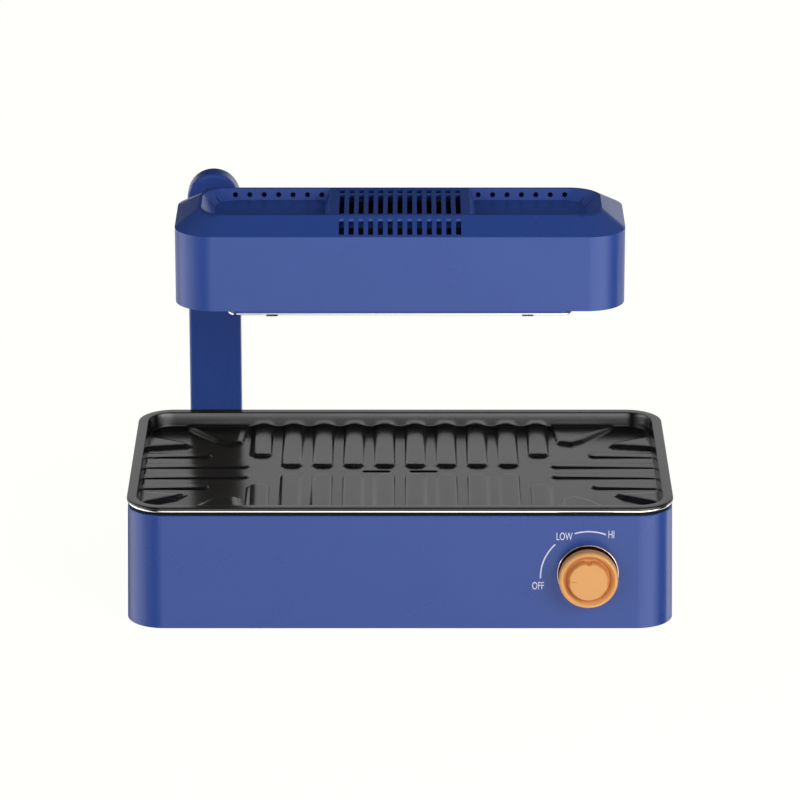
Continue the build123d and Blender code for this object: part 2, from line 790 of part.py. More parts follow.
with BuildPart() as arm_core:
    with BuildSketch(front_plane(arm_core_back_y)):
        arm_outline(arm_core_radius, arm_low + arm_wall + arm_core_fit, arm_core_fit)
        with Locations((arm_x, pivot_z)):
            Circle(bush_radius + running_gap, mode=Mode.SUBTRACT)
        with Locations((stop_pin_x, stop_pin_z)):
            Circle(stop_pin_radius + running_gap, mode=Mode.SUBTRACT)
        with Locations(*arm_bolt_places):
            Circle(arm_bolt_radius + running_gap, mode=Mode.SUBTRACT)
        with Locations(*cover_screw_places):
            Circle(screw_radius + running_gap, mode=Mode.SUBTRACT)
    extrude(amount=arm_core_sheet)
arm_core.part.label = "arm_core"
export_step(arm_core.part, "parts/arm_core.step")

with BuildPart() as arm_rear_cover:
    with BuildSketch(front_plane(arm_back_y)):
        arm_outline(arm_radius, arm_low, arm_foot_radius)
    extrude(amount=arm_cover_sheet)
    fillet(arm_rear_cover.edges().group_by(Axis.Y)[-1], arm_cover_edge)
    for inset, mode in ((cover_lip_inset, Mode.ADD), (cover_lip_inner, Mode.SUBTRACT)):
        with BuildSketch(front_plane(arm_cover_y)):
            arm_outline(arm_radius - inset, arm_low + inset, arm_foot_radius - inset)
        extrude(amount=cover_lip_depth, mode=mode)
    for x, z in cover_screw_places:
        rod((x, arm_cover_y, z), (x, arm_core_back_y, z), cover_boss_radius)
        rod(
            (x, arm_back_y + cut_overrun, z),
            (x, arm_core_back_y - cut_overrun, z),
            screw_radius + hole_gap,
            mode=Mode.SUBTRACT,
        )
        rod(
            (x, arm_back_y + cut_overrun, z),
            (x, arm_back_y - screw_head_height, z),
            screw_head_radius + hole_gap,
            mode=Mode.SUBTRACT,
        )
arm_rear_cover.part.label = "arm_rear_cover"
export_step(arm_rear_cover.part, "parts/arm_rear_cover.step")

cover_screw_seat_y = arm_back_y - screw_head_height
cover_screw = screw(cover_screw_seat_y - arm_core_front_y)
for number, (x, z) in enumerate(cover_screw_places, start=1):
    with BuildPart() as cover_screw_piece:
        with Locations(Location((x, cover_screw_seat_y, z), (-90, 0, 0))):
            add(cover_screw)
    cover_screw_piece.part.label = f"arm_cover_screw_{number}"
    export_step(cover_screw_piece.part, f"parts/arm_cover_screw_{number}.step")

# Arm bracket: an angle of thick sheet inside the rear wall, standing on the bottom plate
with BuildPart() as arm_bracket:
    block(
        (arm_x - arm_pad_width / 2, bracket_seat_y - bracket_sheet, bottom_plate_top),
        (arm_x + arm_pad_width / 2, bracket_seat_y, arm_pad_high),
    )
    block(
        (arm_x - arm_pad_width / 2, bracket_seat_y - bracket_foot, bottom_plate_top),
        (arm_x + arm_pad_width / 2, bracket_seat_y, bottom_plate_top + bracket_sheet),
    )
    for x, z in arm_bolt_places:
        rod(
            (x, bracket_seat_y - bracket_sheet - cut_overrun, z),
            (x, bracket_seat_y + cut_overrun, z),
            arm_bolt_radius + hole_gap,
            mode=Mode.SUBTRACT,
        )
arm_bracket.part.label = "arm_bracket"
export_step(arm_bracket.part, "parts/arm_bracket.step")

bolt_seat_y = bracket_seat_y - bracket_sheet
arm_bolt = screw(arm_core_back_y - bolt_seat_y, arm_bolt_radius)
for number, (x, z) in enumerate(arm_bolt_places, start=1):
    with BuildPart() as arm_bolt_piece:
        with Locations(Location((x, bolt_seat_y, z), (90, 0, 0))):
            add(arm_bolt)
    arm_bolt_piece.part.label = f"arm_bolt_{number}"
    export_step(arm_bolt_piece.part, f"parts/arm_bolt_{number}.step")

# Hinge bush and stop pin, both pressed into the arm core
with BuildPart() as hinge_bush:
    bush_front_y = arm_front_y + body_gap
    rod((arm_x, bush_front_y, pivot_z), (arm_x, arm_core_back_y, pivot_z), bush_radius)
    rod(
        (arm_x, bush_front_y - cut_overrun, pivot_z),
        (arm_x, arm_core_back_y + cut_overrun, pivot_z),
        hinge_shaft_radius + running_gap,
        mode=Mode.SUBTRACT,
    )
hinge_bush.part.label = "hinge_bush"
export_step(hinge_bush.part, "parts/hinge_bush.step")

with BuildPart() as stop_pin:
    rod(
        (stop_pin_x, arm_core_front_y, stop_pin_z),
        (stop_pin_x, stop_disc_back_y, stop_pin_z),
        stop_pin_radius,
    )
stop_pin.part.label = "stop_pin"
export_step(stop_pin.part, "parts/stop_pin.step")

# Head shell: a blue hood with a sloping shoulder, two dished pockets and a slotted vent block between them
head_end_inset = 38.0
head_depth = 118.0
head_corner_radius = 30.0
head_wall_height = 60.5
head_shoulder_height = 12.0
head_shoulder_run_x = 18.0
head_shoulder_run_y = 20.0
head_rim_radius = 24.0
head_wall = 2.5
head_shoulder_wall = 1.2
pocket_depth = 8.8
pocket_rim = 2.5
pocket_slope_x = 10.0
pocket_slope_y = 3.0
vent_half_length = 55.2
vent_block_draft = 4.1
head_slot_count = 13
head_slot_pitch = 7.63
head_slot_width = 4.0
top_slot_margin = 4.1
slot_row_gap = 2.9
rear_slot_length = 11.3
rear_slot_margin = 4.4
front_slot_margin_share = 0.17
front_slot_end_share = 0.9
round_vent_radius = 2.0
round_vent_start = 62.3
round_vent_pitch = 11.5
round_vent_drop = 4.9
corner_slit_length = 9.0
corner_slit_width = 1.4
corner_slit_insets = ((16.0, 13.0, 30.0), (10.0, 26.0, 20.0))
head_boss_radius = 4.5
frame_screw_inset = 31.0
shield_end_inset = 52.0
shield_side_inset = 19.0
shield_screw_inset_x = 20.0
shield_screw_inset_y = 12.0
panel_recess = 1.0
panel_sheet = 2.5
shield_rise = 41.7
shield_sheet = 1.0
neck_head_radius = 15.5
neck_arm_radius = 10.0
neck_gap = 0.4
head_bracket_sheet = 3.0
head_bracket_gap = 6.0
head_bracket_screws = (32.0, 70.0)
head_bracket_boss_radius = 5.0

head_length = pan_length - 2 * head_end_inset
head_wall_top = head_low + head_wall_height
head_top = head_wall_top + head_shoulder_height
head_rim_length = head_length - 2 * head_shoulder_run_x
head_rim_depth = head_depth - 2 * head_shoulder_run_y
pocket_floor = head_top - pocket_depth
panel_low = head_low + panel_recess
panel_top = panel_low + panel_sheet
shield_length = head_length - 2 * shield_end_inset
shield_depth = head_depth - 2 * shield_side_inset
shield_low = head_low + shield_rise
shield_top = shield_low + shield_sheet
frame_screw_x = head_length / 2 - frame_screw_inset
frame_screw_y = head_depth / 2 - frame_screw_inset
shield_screw_x = shield_length / 2 - shield_screw_inset_x
shield_screw_y = shield_depth / 2 - shield_screw_inset_y
rear_slot_back = head_rim_depth / 2 - rear_slot_margin
rear_slot_front = rear_slot_back - rear_slot_length
top_slot_back = rear_slot_front - slot_row_gap
top_slot_front = top_slot_margin - head_rim_depth / 2
round_vent_reach = head_rim_length / 2 - head_rim_radius - round_vent_start
round_vent_count = 1 + int(round_vent_reach / round_vent_pitch)
head_inner_back_y = head_depth / 2 - head_wall
head_bracket_back_y = head_inner_back_y - head_bracket_gap
head_bracket_front_y = head_bracket_back_y - head_bracket_sheet
frame_screw_places = [(side * frame_screw_x, end * frame_screw_y) for side, end in four_corners]
shield_screw_places = [(side * shield_screw_x, end * shield_screw_y) for side, end in four_corners]
head_bracket_screw_places = [(arm_x + offset_x, pivot_z) for offset_x in head_bracket_screws]
slot_rows = (
    (top_slot_front, top_slot_back),
    (rear_slot_front, rear_slot_back),
    (
        -head_rim_depth / 2 - head_shoulder_run_y * front_slot_end_share,
        -head_rim_depth / 2 - head_shoulder_run_y * front_slot_margin_share,
    ),
)


def head_outline(inset: float):
    """Draw the head's outer outline, moved inwards by inset."""
    RectangleRounded(head_length - 2 * inset, head_depth - 2 * inset, head_corner_radius - inset)


def rim_outline(inset_x: float, inset_y: float):
    """Draw the outline of the head's upper rim, moved inwards by different amounts along X and Y."""
    RectangleRounded(
        head_rim_length - 2 * inset_x, head_rim_depth - 2 * inset_y, head_rim_radius - inset_y
    )


with BuildPart() as head_cavity:
    with BuildSketch(Plane.XY.offset(head_low)):
        head_outline(head_wall)
    extrude(amount=head_wall_height - head_shoulder_wall)
    with BuildSketch(Plane.XY.offset(head_wall_top - head_shoulder_wall)):
        head_outline(head_wall)
    with BuildSketch(Plane.XY.offset(head_top - head_wall)):
        rim_outline(-head_shoulder_wall, -head_shoulder_wall)
    loft()
    # The pockets' floor and walls stay solid on both sides of the vent block
    with BuildSketch(Plane.XY.offset(pocket_floor - head_wall)):
        rim_outline(pocket_slope_x, pocket_slope_y)
    with BuildSketch(Plane.XY.offset(head_top)):
        rim_outline(0, 0)
    loft(mode=Mode.SUBTRACT)
    with BuildSketch(Plane.XY.offset(pocket_floor - head_wall)):
        Rectangle(2 * (vent_half_length - head_wall), head_rim_depth - 2 * pocket_slope_y)
    extrude(amount=pocket_depth)

with BuildPart() as head_pockets:
    with BuildSketch(Plane.XY.offset(pocket_floor)):
        rim_outline(pocket_rim + pocket_slope_x, pocket_rim + pocket_slope_y)
    with BuildSketch(Plane.XY.offset(head_top)):
        rim_outline(pocket_rim, pocket_rim)
    loft()
    with BuildSketch(Plane.XY.offset(pocket_floor)):
        Rectangle(2 * (vent_half_length + vent_block_draft), head_depth)
    with BuildSketch(Plane.XY.offset(head_top)):
        Rectangle(2 * vent_half_length, head_depth)
    loft(mode=Mode.SUBTRACT)

with BuildPart() as head_shell:
    with BuildSketch(Plane.XY.offset(head_low)):
        head_outline(0)
    extrude(amount=head_wall_height)
    with BuildSketch(Plane.XY.offset(head_wall_top)):
        head_outline(0)
    with BuildSketch(Plane.XY.offset(head_top)):
        rim_outline(0, 0)
    loft()
    add(head_cavity.part, mode=Mode.SUBTRACT)
    add(head_pockets.part, mode=Mode.SUBTRACT)

    # Slots of the vent block: two rows on top and one down the front shoulder
    with BuildSketch(Plane.XY.offset(pocket_floor - head_wall)):
        for row_front, row_back in slot_rows:
            with Locations((0, (row_front + row_back) / 2)):
                with GridLocations(head_slot_pitch, 0, head_slot_count, 1):
                    Rectangle(head_slot_width, row_back - row_front)
        # Short slits at the rear ends of the pockets
        for side in left_right:
            for inset_x, inset_y, slit_angle in corner_slit_insets:
                slit_x = side * (head_rim_length / 2 - inset_x)
                with Locations((slit_x, head_rim_depth / 2 - inset_y)):
                    SlotOverall(corner_slit_length, corner_slit_width, rotation=side * slit_angle)
    extrude(amount=pocket_depth + cut_overrun, mode=Mode.SUBTRACT)
    round_vent_front_y = head_rim_depth / 2 - pocket_rim - pocket_slope_y - cut_overrun
    round_vent_back_y = head_rim_depth / 2 + pocket_rim
    round_vent_z = head_top - round_vent_drop
    for side in left_right:
        for index in range(round_vent_count):
            x = side * (round_vent_start + index * round_vent_pitch)
            rod(
                (x, round_vent_front_y, round_vent_z),
                (x, round_vent_back_y, round_vent_z),
                round_vent_radius,
                mode=Mode.SUBTRACT,
            )

    # Bosses for the lower frame, the heat shield and the hinge bracket
    for places, boss_low in ((frame_screw_places, panel_top), (shield_screw_places, shield_top)):
        for x, y in places:
            rod((x, y, boss_low), (x, y, pocket_floor - head_wall / 2), head_boss_radius)
            rod(
                (x, y, boss_low - cut_overrun),
                (x, y, boss_low + screw_length),
                screw_radius + running_gap,
                mode=Mode.SUBTRACT,
            )
    for x, z in head_bracket_screw_places:
        rod(
            (x, head_bracket_back_y, z),
            (x, head_depth / 2 - head_wall / 2, z),
            head_bracket_boss_radius,
        )
        rod(
            (x, head_bracket_back_y - cut_overrun, z),
            (x, head_depth / 2 - head_wall / 2, z),
            screw_radius + running_gap,
            mode=Mode.SUBTRACT,
        )
    rod(
        (arm_x, head_bracket_back_y, pivot_z),
        (arm_x, head_depth / 2 + cut_overrun, pivot_z),
        neck_head_radius + neck_gap,
        mode=Mode.SUBTRACT,
    )
head_shell.part.label = "head_shell"
export_step(head_shell.part, "parts/head_shell.step")

# Lower frame: closes the head from below, with a lip round the heater's mouth
lip_end_inset = 41.7
lip_side_inset = 5.0
lip_radius = 10.0
lip_drop = 3.5
panel_fit = 0.3
mouth_end_inset = 17.3
mouth_side_inset = 12.0
mouth_radius = 6.0
guard_wire_radius = 1.2
guard_rod_radius = 0.9
guard_side_inset = 4.0
guard_corner_radius = 6.0
guard_rod_pitch = 13.4
guard_gap = 0.1
clip_end_inset = 33.6
clip_width = 9.0
clip_leg = 5.8
clip_foot = 3.0
clip_sheet = 1.2
clip_screw_radius = 1.2

lip_length = head_length - 2 * lip_end_inset
lip_depth = head_depth - 2 * lip_side_inset
mouth_length = lip_length - 2 * mouth_end_inset
mouth_depth = lip_depth - 2 * mouth_side_inset
guard_half_length = lip_length / 2 - guard_wire_radius
guard_half_depth = lip_depth / 2 - guard_side_inset
guard_rod_count = 1 + 2 * int((guard_half_length - guard_corner_radius) / guard_rod_pitch)
lip_low = head_low - lip_drop
guard_z = lip_low - guard_wire_radius - guard_gap
clip_low = guard_z - guard_wire_radius - guard_gap
clip_x = guard_half_length - clip_end_inset
clip_outer_y = guard_half_depth - guard_wire_radius - panel_fit
clip_inner_y = clip_outer_y - clip_leg
clip_screw_y = clip_outer_y - clip_leg / 2

with BuildPart() as head_frame:
    with BuildSketch(Plane.XY.offset(panel_low)):
        head_outline(head_wall + panel_fit)
    extrude(amount=panel_sheet)
    with BuildSketch(Plane.XY.offset(lip_low)):
        RectangleRounded(lip_length, lip_depth, lip_radius)
    extrude(amount=panel_low - lip_low)
    with BuildSketch(Plane.XY.offset(lip_low)):
        RectangleRounded(mouth_length, mouth_depth, mouth_radius)
        with Locations(*frame_screw_places):
            Circle(screw_radius + hole_gap)
    extrude(amount=panel_top - lip_low, mode=Mode.SUBTRACT)
    for side, end in four_corners:
        rod(
            (side * clip_x, end * clip_screw_y, lip_low),
            (side * clip_x, end * clip_screw_y, panel_top),
            clip_screw_radius + running_gap,
            mode=Mode.SUBTRACT,
        )
head_frame.part.label = "head_frame"
export_step(head_frame.part, "parts/head_frame.step")

frame_screw = screw(screw_length)
with BuildPart() as frame_screws:
    with Locations(*[Location((x, y, panel_low), (180, 0, 0)) for x, y in frame_screw_places]):
        add(frame_screw)
frame_screws.part.label = "frame_screws"
export_step(frame_screws.part, "parts/frame_screws.step")

# Guard grid: a bent wire frame under the lip, with straight cross rods welded to it
with BuildSketch(Plane.XY.offset(guard_z)) as guard_loop:
    RectangleRounded(2 * guard_half_length, 2 * guard_half_depth, guard_corner_radius)
guard_path = guard_loop.sketch.face().outer_wire()

with BuildPart() as guard_grid:
    with BuildSketch(Plane(origin=guard_path @ 0, z_dir=guard_path % 0)):
        Circle(guard_wire_radius)
    sweep(path=guard_path)
    for index in range(guard_rod_count):
        x = (index - (guard_rod_count - 1) / 2) * guard_rod_pitch
        rod((x, -guard_half_depth, guard_z), (x, guard_half_depth, guard_z), guard_rod_radius)
guard_grid.part.label = "guard_grid"
export_step(guard_grid.part, "parts/guard_grid.step")

with BuildPart() as guard_clips:
    for side, end in four_corners:
        near = sorted((end * clip_inner_y, end * clip_outer_y))
        reach = sorted((end * clip_inner_y, end * (guard_half_depth + clip_foot)))
        block(
            (side * clip_x - clip_width / 2, near[0], clip_low),
            (side * clip_x + clip_width / 2, near[1], lip_low),
        )
        block(
            (side * clip_x - clip_width / 2, reach[0], clip_low - clip_sheet),
            (side * clip_x + clip_width / 2, reach[1], clip_low),
        )
        rod(
            (side * clip_x, end * clip_screw_y, clip_low - clip_sheet - cut_overrun),
            (side * clip_x, end * clip_screw_y, lip_low + cut_overrun),
            clip_screw_radius + running_gap,
            mode=Mode.SUBTRACT,
        )
guard_clips.part.label = "guard_clips"
export_step(guard_clips.part, "parts/guard_clips.step")

clip_screw = screw(lip_low - clip_low + clip_sheet + panel_sheet, clip_screw_radius)
with BuildPart() as guard_screws:
    with Locations(
        *[
            Location((side * clip_x, end * clip_screw_y, clip_low - clip_sheet), (180, 0, 0))
            for side, end in four_corners
        ]
    ):
        add(clip_screw)
guard_screws.part.label = "guard_screws"
export_step(guard_screws.part, "parts/guard_screws.step")

# Reflector: a bright trough upside down over the mouth, with a flange on the lower frame
reflector_sheet = 0.6
reflector_flange = 7.0
trough_end_margin = 9.0
trough_side_margin = 1.0
trough_slope = 10.0
trough_height = 20.2

trough_length = mouth_length + 2 * trough_end_margin
trough_depth = mouth_depth + 2 * trough_side_margin
trough_top_depth = trough_depth - 2 * trough_slope
trough_top = panel_top + trough_height
reflector_flange_length = trough_length + 2 * reflector_flange
reflector_flange_depth = trough_depth + 2 * reflector_flange

with BuildPart() as reflector:
    with BuildSketch(Plane.XY.offset(panel_top)):
        RectangleRounded(reflector_flange_length, reflector_flange_depth, mouth_radius)
    extrude(amount=reflector_sheet)
    with BuildSketch(Plane.XY.offset(panel_top)):
        Rectangle(trough_length + 2 * reflector_sheet, trough_depth + 2 * reflector_sheet)
    with BuildSketch(Plane.XY.offset(trough_top + reflector_sheet)):
        Rectangle(trough_length + 2 * reflector_sheet, trough_top_depth + 2 * reflector_sheet)
    loft()
    with BuildSketch(Plane.XY.offset(panel_top)):
        Rectangle(trough_length, trough_depth)
    with BuildSketch(Plane.XY.offset(trough_top)):
        Rectangle(trough_length, trough_top_depth)
    loft(mode=Mode.SUBTRACT)
reflector.part.label = "reflector"
export_step(reflector.part, "parts/reflector.step")

# Heater: three quartz tubes held at both ends, each with a flat emitter strip between end plugs
tube_count = 3
tube_edge = 10.0
tube_radius = 5.0
tube_wall = 1.0
tube_rise = 7.2
tube_fit = 0.15
holder_sheet = 5.0
holder_height = 14.2
holder_side_inset = 1.0
holder_inset = 1.5
strip_width = 3.2
strip_sheet = 0.5
plug_length = 8.0

tube_z = panel_top + tube_rise
holder_depth = trough_top_depth - 2 * holder_side_inset
tube_pitch = (holder_depth - 2 * tube_edge) / (tube_count - 1)
holder_outer_x = trough_length / 2 - holder_inset
tube_places = [(index - (tube_count - 1) / 2) * tube_pitch for index in range(tube_count)]

for name, side in (("tube_holder_left", -1), ("tube_holder_right", 1)):
    with BuildPart() as tube_holder:
        span = sorted((side * holder_outer_x, side * (holder_outer_x - holder_sheet)))
        block(
            (span[0], -holder_depth / 2, panel_top),
            (span[1], holder_depth / 2, panel_top + holder_height),
        )
        for y in tube_places:
            rod(
                (span[0] - cut_overrun, y, tube_z),
                (span[1] + cut_overrun, y, tube_z),
                tube_radius + tube_fit,
                mode=Mode.SUBTRACT,
            )
    tube_holder.part.label = name
    export_step(tube_holder.part, f"parts/{name}.step")

for number, y in enumerate(tube_places, start=1):
    with BuildPart() as heater_tube:
        rod((-holder_outer_x, y, tube_z), (holder_outer_x, y, tube_z), tube_radius)
        rod(
            (-holder_outer_x - cut_overrun, y, tube_z),
            (holder_outer_x + cut_overrun, y, tube_z),
            tube_radius - tube_wall,
            mode=Mode.SUBTRACT,
        )
    heater_tube.part.label = f"heater_tube_{number}"
    export_step(heater_tube.part, f"parts/heater_tube_{number}.step")

with BuildPart() as emitter_strips:
    for y in tube_places:
        block(
            (-holder_outer_x + plug_length / 2, y - strip_width / 2, tube_z - strip_sheet / 2),
            (holder_outer_x - plug_length / 2, y + strip_width / 2, tube_z + strip_sheet / 2),
        )
        for side in left_right:
            rod(
                (side * holder_outer_x, y, tube_z),
                (side * (holder_outer_x - plug_length), y, tube_z),
                tube_radius - tube_wall - tube_fit,
            )
emitter_strips.part.label = "emitter_strips"
export_step(emitter_strips.part, "parts/emitter_strips.step")

# Thermal limiter: a small disc on the reflector's back that cuts the heater off
limiter_x = 60.0
limiter_radius = 8.0
limiter_height = 6.0
limiter_blade_gap = 4.0

with BuildPart() as thermal_limiter:
    limiter_low = trough_top + reflector_sheet
    rod((limiter_x, 0, limiter_low), (limiter_x, 0, limiter_low + limiter_height), limiter_radius)
    for side in left_right:
        block(
            (
                limiter_x + side * limiter_blade_gap - blade_width / 4,
                -blade_sheet / 2,
                limiter_low + limiter_height,
            ),
            (
                limiter_x + side * limiter_blade_gap + blade_width / 4,
                blade_sheet / 2,
                limiter_low + limiter_height + blade_length / 2,
            ),
        )
thermal_limiter.part.label = "thermal_limiter"
export_step(thermal_limiter.part, "parts/thermal_limiter.step")

# Heat shield: a flat plate across the hood that carries the fan and keeps heat off the vents
shield_radius = 8.0
fan_width = 70.0
fan_height = 20.0
fan_corner_radius = 6.0
fan_bore_radius = 33.0
fan_screw_spread = 61.5
fan_screw_radius = 1.5

with BuildPart() as heat_shield:
    with BuildSketch(Plane.XY.offset(shield_low)):
        RectangleRounded(shield_length, shield_depth, shield_radius)
        Circle(fan_bore_radius, mode=Mode.SUBTRACT)
        with Locations(*shield_screw_places):
            Circle(screw_radius + hole_gap, mode=Mode.SUBTRACT)
        with GridLocations(fan_screw_spread, fan_screw_spread, 2, 2):
            Circle(fan_screw_radius + running_gap, mode=Mode.SUBTRACT)
    extrude(amount=shield_sheet)
heat_shield.part.label = "heat_shield"
export_step(heat_shield.part, "parts/heat_shield.step")

with BuildPart() as shield_screws:
    with Locations(*[Location((x, y, shield_low), (180, 0, 0)) for x, y in shield_screw_places]):
        add(frame_screw)
shield_screws.part.label = "shield_screws"
export_step(shield_screws.part, "parts/shield_screws.step")

# Fan: a square frame with the motor on four struts, and an impeller that turns on the motor's bore
fan_hub_radius = 13.0
fan_hub_height = 3.0
fan_strut_width = 3.0
stator_radius = 11.5
stator_height = 10.0
axle_radius = 1.5
cup_radius = 15.0
cup_wall = 2.0
cup_roof = 2.0
cup_lift = 1.0
cup_height = 13.0
blade_count = 7
fan_blade_chord = 17.0
fan_blade_sheet = 1.4
fan_blade_tilt = 35.0
fan_blade_tip_radius = 30.5
fan_blade_rise = 7.0

fan_hub_top = shield_top + fan_hub_height
stator_top = fan_hub_top + stator_height
cup_low = fan_hub_top + cup_lift
cup_top = cup_low + cup_height

with BuildPart() as fan_frame:
    with BuildSketch(Plane.XY.offset(shield_top)):
        RectangleRounded(fan_width, fan_width, fan_corner_radius)
        Circle(fan_bore_radius, mode=Mode.SUBTRACT)
        with GridLocations(fan_screw_spread, fan_screw_spread, 2, 2):
            Circle(fan_screw_radius + hole_gap, mode=Mode.SUBTRACT)
    extrude(amount=fan_height)
    rod((0, 0, shield_top), (0, 0, fan_hub_top), fan_hub_radius)
    with BuildSketch(Plane.XY.offset(shield_top)):
        Rectangle(2 * fan_bore_radius + fan_strut_width, fan_strut_width)
        Rectangle(fan_strut_width, 2 * fan_bore_radius + fan_strut_width)
    extrude(amount=fan_hub_height)
    rod((0, 0, fan_hub_top), (0, 0, stator_top), stator_radius)
    rod(
        (0, 0, fan_hub_top),
        (0, 0, stator_top + cut_overrun),
        axle_radius + running_gap,
        mode=Mode.SUBTRACT,
    )
fan_frame.part.label = "fan_frame"
export_step(fan_frame.part, "parts/fan_frame.step")

fan_screw = screw(fan_height + shield_sheet, fan_screw_radius)
with BuildPart() as fan_screws:
    with Locations(Plane.XY.offset(shield_top + fan_height)):
        with GridLocations(fan_screw_spread, fan_screw_spread, 2, 2):
            add(fan_screw)
fan_screws.part.label = "fan_screws"
export_step(fan_screws.part, "parts/fan_screws.step")

with BuildPart() as fan_impeller:
    rod((0, 0, cup_low), (0, 0, cup_top), cup_radius)
    rod(
        (0, 0, cup_low - cut_overrun),
        (0, 0, cup_top - cup_roof),
        cup_radius - cup_wall,
        mode=Mode.SUBTRACT,
    )
    rod((0, 0, fan_hub_top + body_gap), (0, 0, cup_top), axle_radius)
    with PolarLocations(0, blade_count):
        with Locations(
            Location(
                ((cup_radius - cup_wall / 2 + fan_blade_tip_radius) / 2, 0, cup_low + fan_blade_rise),
                (fan_blade_tilt, 0, 0),
            )
        ):
            Box(fan_blade_tip_radius - cup_radius + cup_wall / 2, fan_blade_chord, fan_blade_sheet)
fan_impeller.part.label = "fan_impeller"
export_step(fan_impeller.part, "parts/fan_impeller.step")

# Head bracket: a steel plate on the hood's rear wall that holds the neck and the hinge shaft
shaft_flange_radius = 10.0
shaft_flange_sheet = 3.0
shaft_end_reach = 5.7
bracket_plate_height = 24.0
bracket_plate_end = 82.4
bracket_plate_start = 10.6
bracket_plate_radius = 4.0
bracket_screw_length = 7.0
hinge_nut_width = 19.0
hinge_nut_height = 5.4

shaft_back_end_y = stop_disc_back_y + shaft_end_reach - body_gap
bracket_centre_x = arm_x + (bracket_plate_end - bracket_plate_start) / 2

with BuildPart() as head_bracket:
    with BuildSketch(front_plane(head_bracket_back_y)):
        with Locations((bracket_centre_x, pivot_z)):
            RectangleRounded(
                bracket_plate_end + bracket_plate_start, bracket_plate_height, bracket_plate_radius
            )
        with Locations((arm_x, pivot_z)):
            Circle(hinge_shaft_radius + running_gap, mode=Mode.SUBTRACT)
        with Locations(*head_bracket_screw_places):
            Circle(screw_radius + hole_gap, mode=Mode.SUBTRACT)
    extrude(amount=head_bracket_sheet)
head_bracket.part.label = "head_bracket"
export_step(head_bracket.part, "parts/head_bracket.step")

bracket_screw = screw(bracket_screw_length)
with BuildPart() as bracket_screws:
    with Locations(
        *[Location((x, head_bracket_front_y, z), (90, 0, 0)) for x, z in head_bracket_screw_places]
    ):
        add(bracket_screw)
bracket_screws.part.label = "bracket_screws"
export_step(bracket_screws.part, "parts/bracket_screws.step")

# Neck, hinge shaft, stop disc and nut: they turn with the head in the arm's bush
neck_end_y = arm_front_y - body_gap
stop_slot_half = stop_pin_radius + body_gap


def around_stop(radius: float, share: float) -> tuple:
    """Place on a circle about the pivot, at a share of the stop disc's swing."""
    angle = radians(stop_pin_angle - head_swing * (1 - share))
    return radius * cos(angle), radius * sin(angle)


with BuildPart() as hinge_neck:
    with Locations(Plane(origin=(arm_x, head_bracket_back_y, pivot_z), z_dir=(0, 1, 0))):
        Cone(
            neck_head_radius,
            neck_arm_radius,
            neck_end_y - head_bracket_back_y,
            align=(Align.CENTER, Align.CENTER, Align.MIN),
        )
    rod(
        (arm_x, head_bracket_back_y - cut_overrun, pivot_z),
        (arm_x, neck_end_y + cut_overrun, pivot_z),
        hinge_shaft_radius + running_gap,
        mode=Mode.SUBTRACT,
    )
hinge_neck.part.label = "hinge_neck"
export_step(hinge_neck.part, "parts/hinge_neck.step")

with BuildPart() as hinge_shaft:
    rod(
        (arm_x, head_bracket_front_y - shaft_flange_sheet, pivot_z),
        (arm_x, head_bracket_front_y, pivot_z),
        shaft_flange_radius,
    )
    rod(
        (arm_x, head_bracket_front_y, pivot_z),
        (arm_x, shaft_back_end_y, pivot_z),
        hinge_shaft_radius,
    )
hinge_shaft.part.label = "hinge_shaft"
export_step(hinge_shaft.part, "parts/hinge_shaft.step")

with BuildPart() as stop_track:
    with BuildSketch(front_plane(stop_disc_back_y)):
        with Locations((arm_x, pivot_z)):
            Circle(stop_track_radius + stop_slot_half)
            Circle(stop_track_radius - stop_slot_half, mode=Mode.SUBTRACT)
            Polygon(
                (0, 0),
                *[around_stop(2 * stop_disc_radius, share) for share in (0, 0.5, 1)],
                align=None,
                mode=Mode.INTERSECT,
            )
            with Locations(*[around_stop(stop_track_radius, share) for share in (0, 1)]):
                Circle(stop_slot_half)
    extrude(amount=stop_disc_sheet)

with BuildPart() as stop_disc:
    with BuildSketch(front_plane(stop_disc_back_y)):
        with Locations((arm_x, pivot_z)):
            Circle(stop_disc_radius)
            Circle(hinge_shaft_radius + running_gap, mode=Mode.SUBTRACT)
    extrude(amount=stop_disc_sheet)
    add(stop_track.part, mode=Mode.SUBTRACT)
stop_disc.part.label = "stop_disc"
export_step(stop_disc.part, "parts/stop_disc.step")

with BuildPart() as hinge_nut:
    with BuildSketch(front_plane(stop_disc_back_y + hinge_nut_height)):
        with Locations((arm_x, pivot_z)):
            RegularPolygon(hinge_nut_width / 2, 6, major_radius=False)
            Circle(hinge_shaft_radius + running_gap, mode=Mode.SUBTRACT)
    extrude(amount=hinge_nut_height)
hinge_nut.part.label = "hinge_nut"
export_step(hinge_nut.part, "parts/hinge_nut.step")
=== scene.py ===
import json
import logging
import math
from dataclasses import dataclass, field
from enum import Enum
from typing import Optional, Sequence

import bmesh
import bpy
import numpy as np
from mathutils import Matrix, Quaternion, Vector

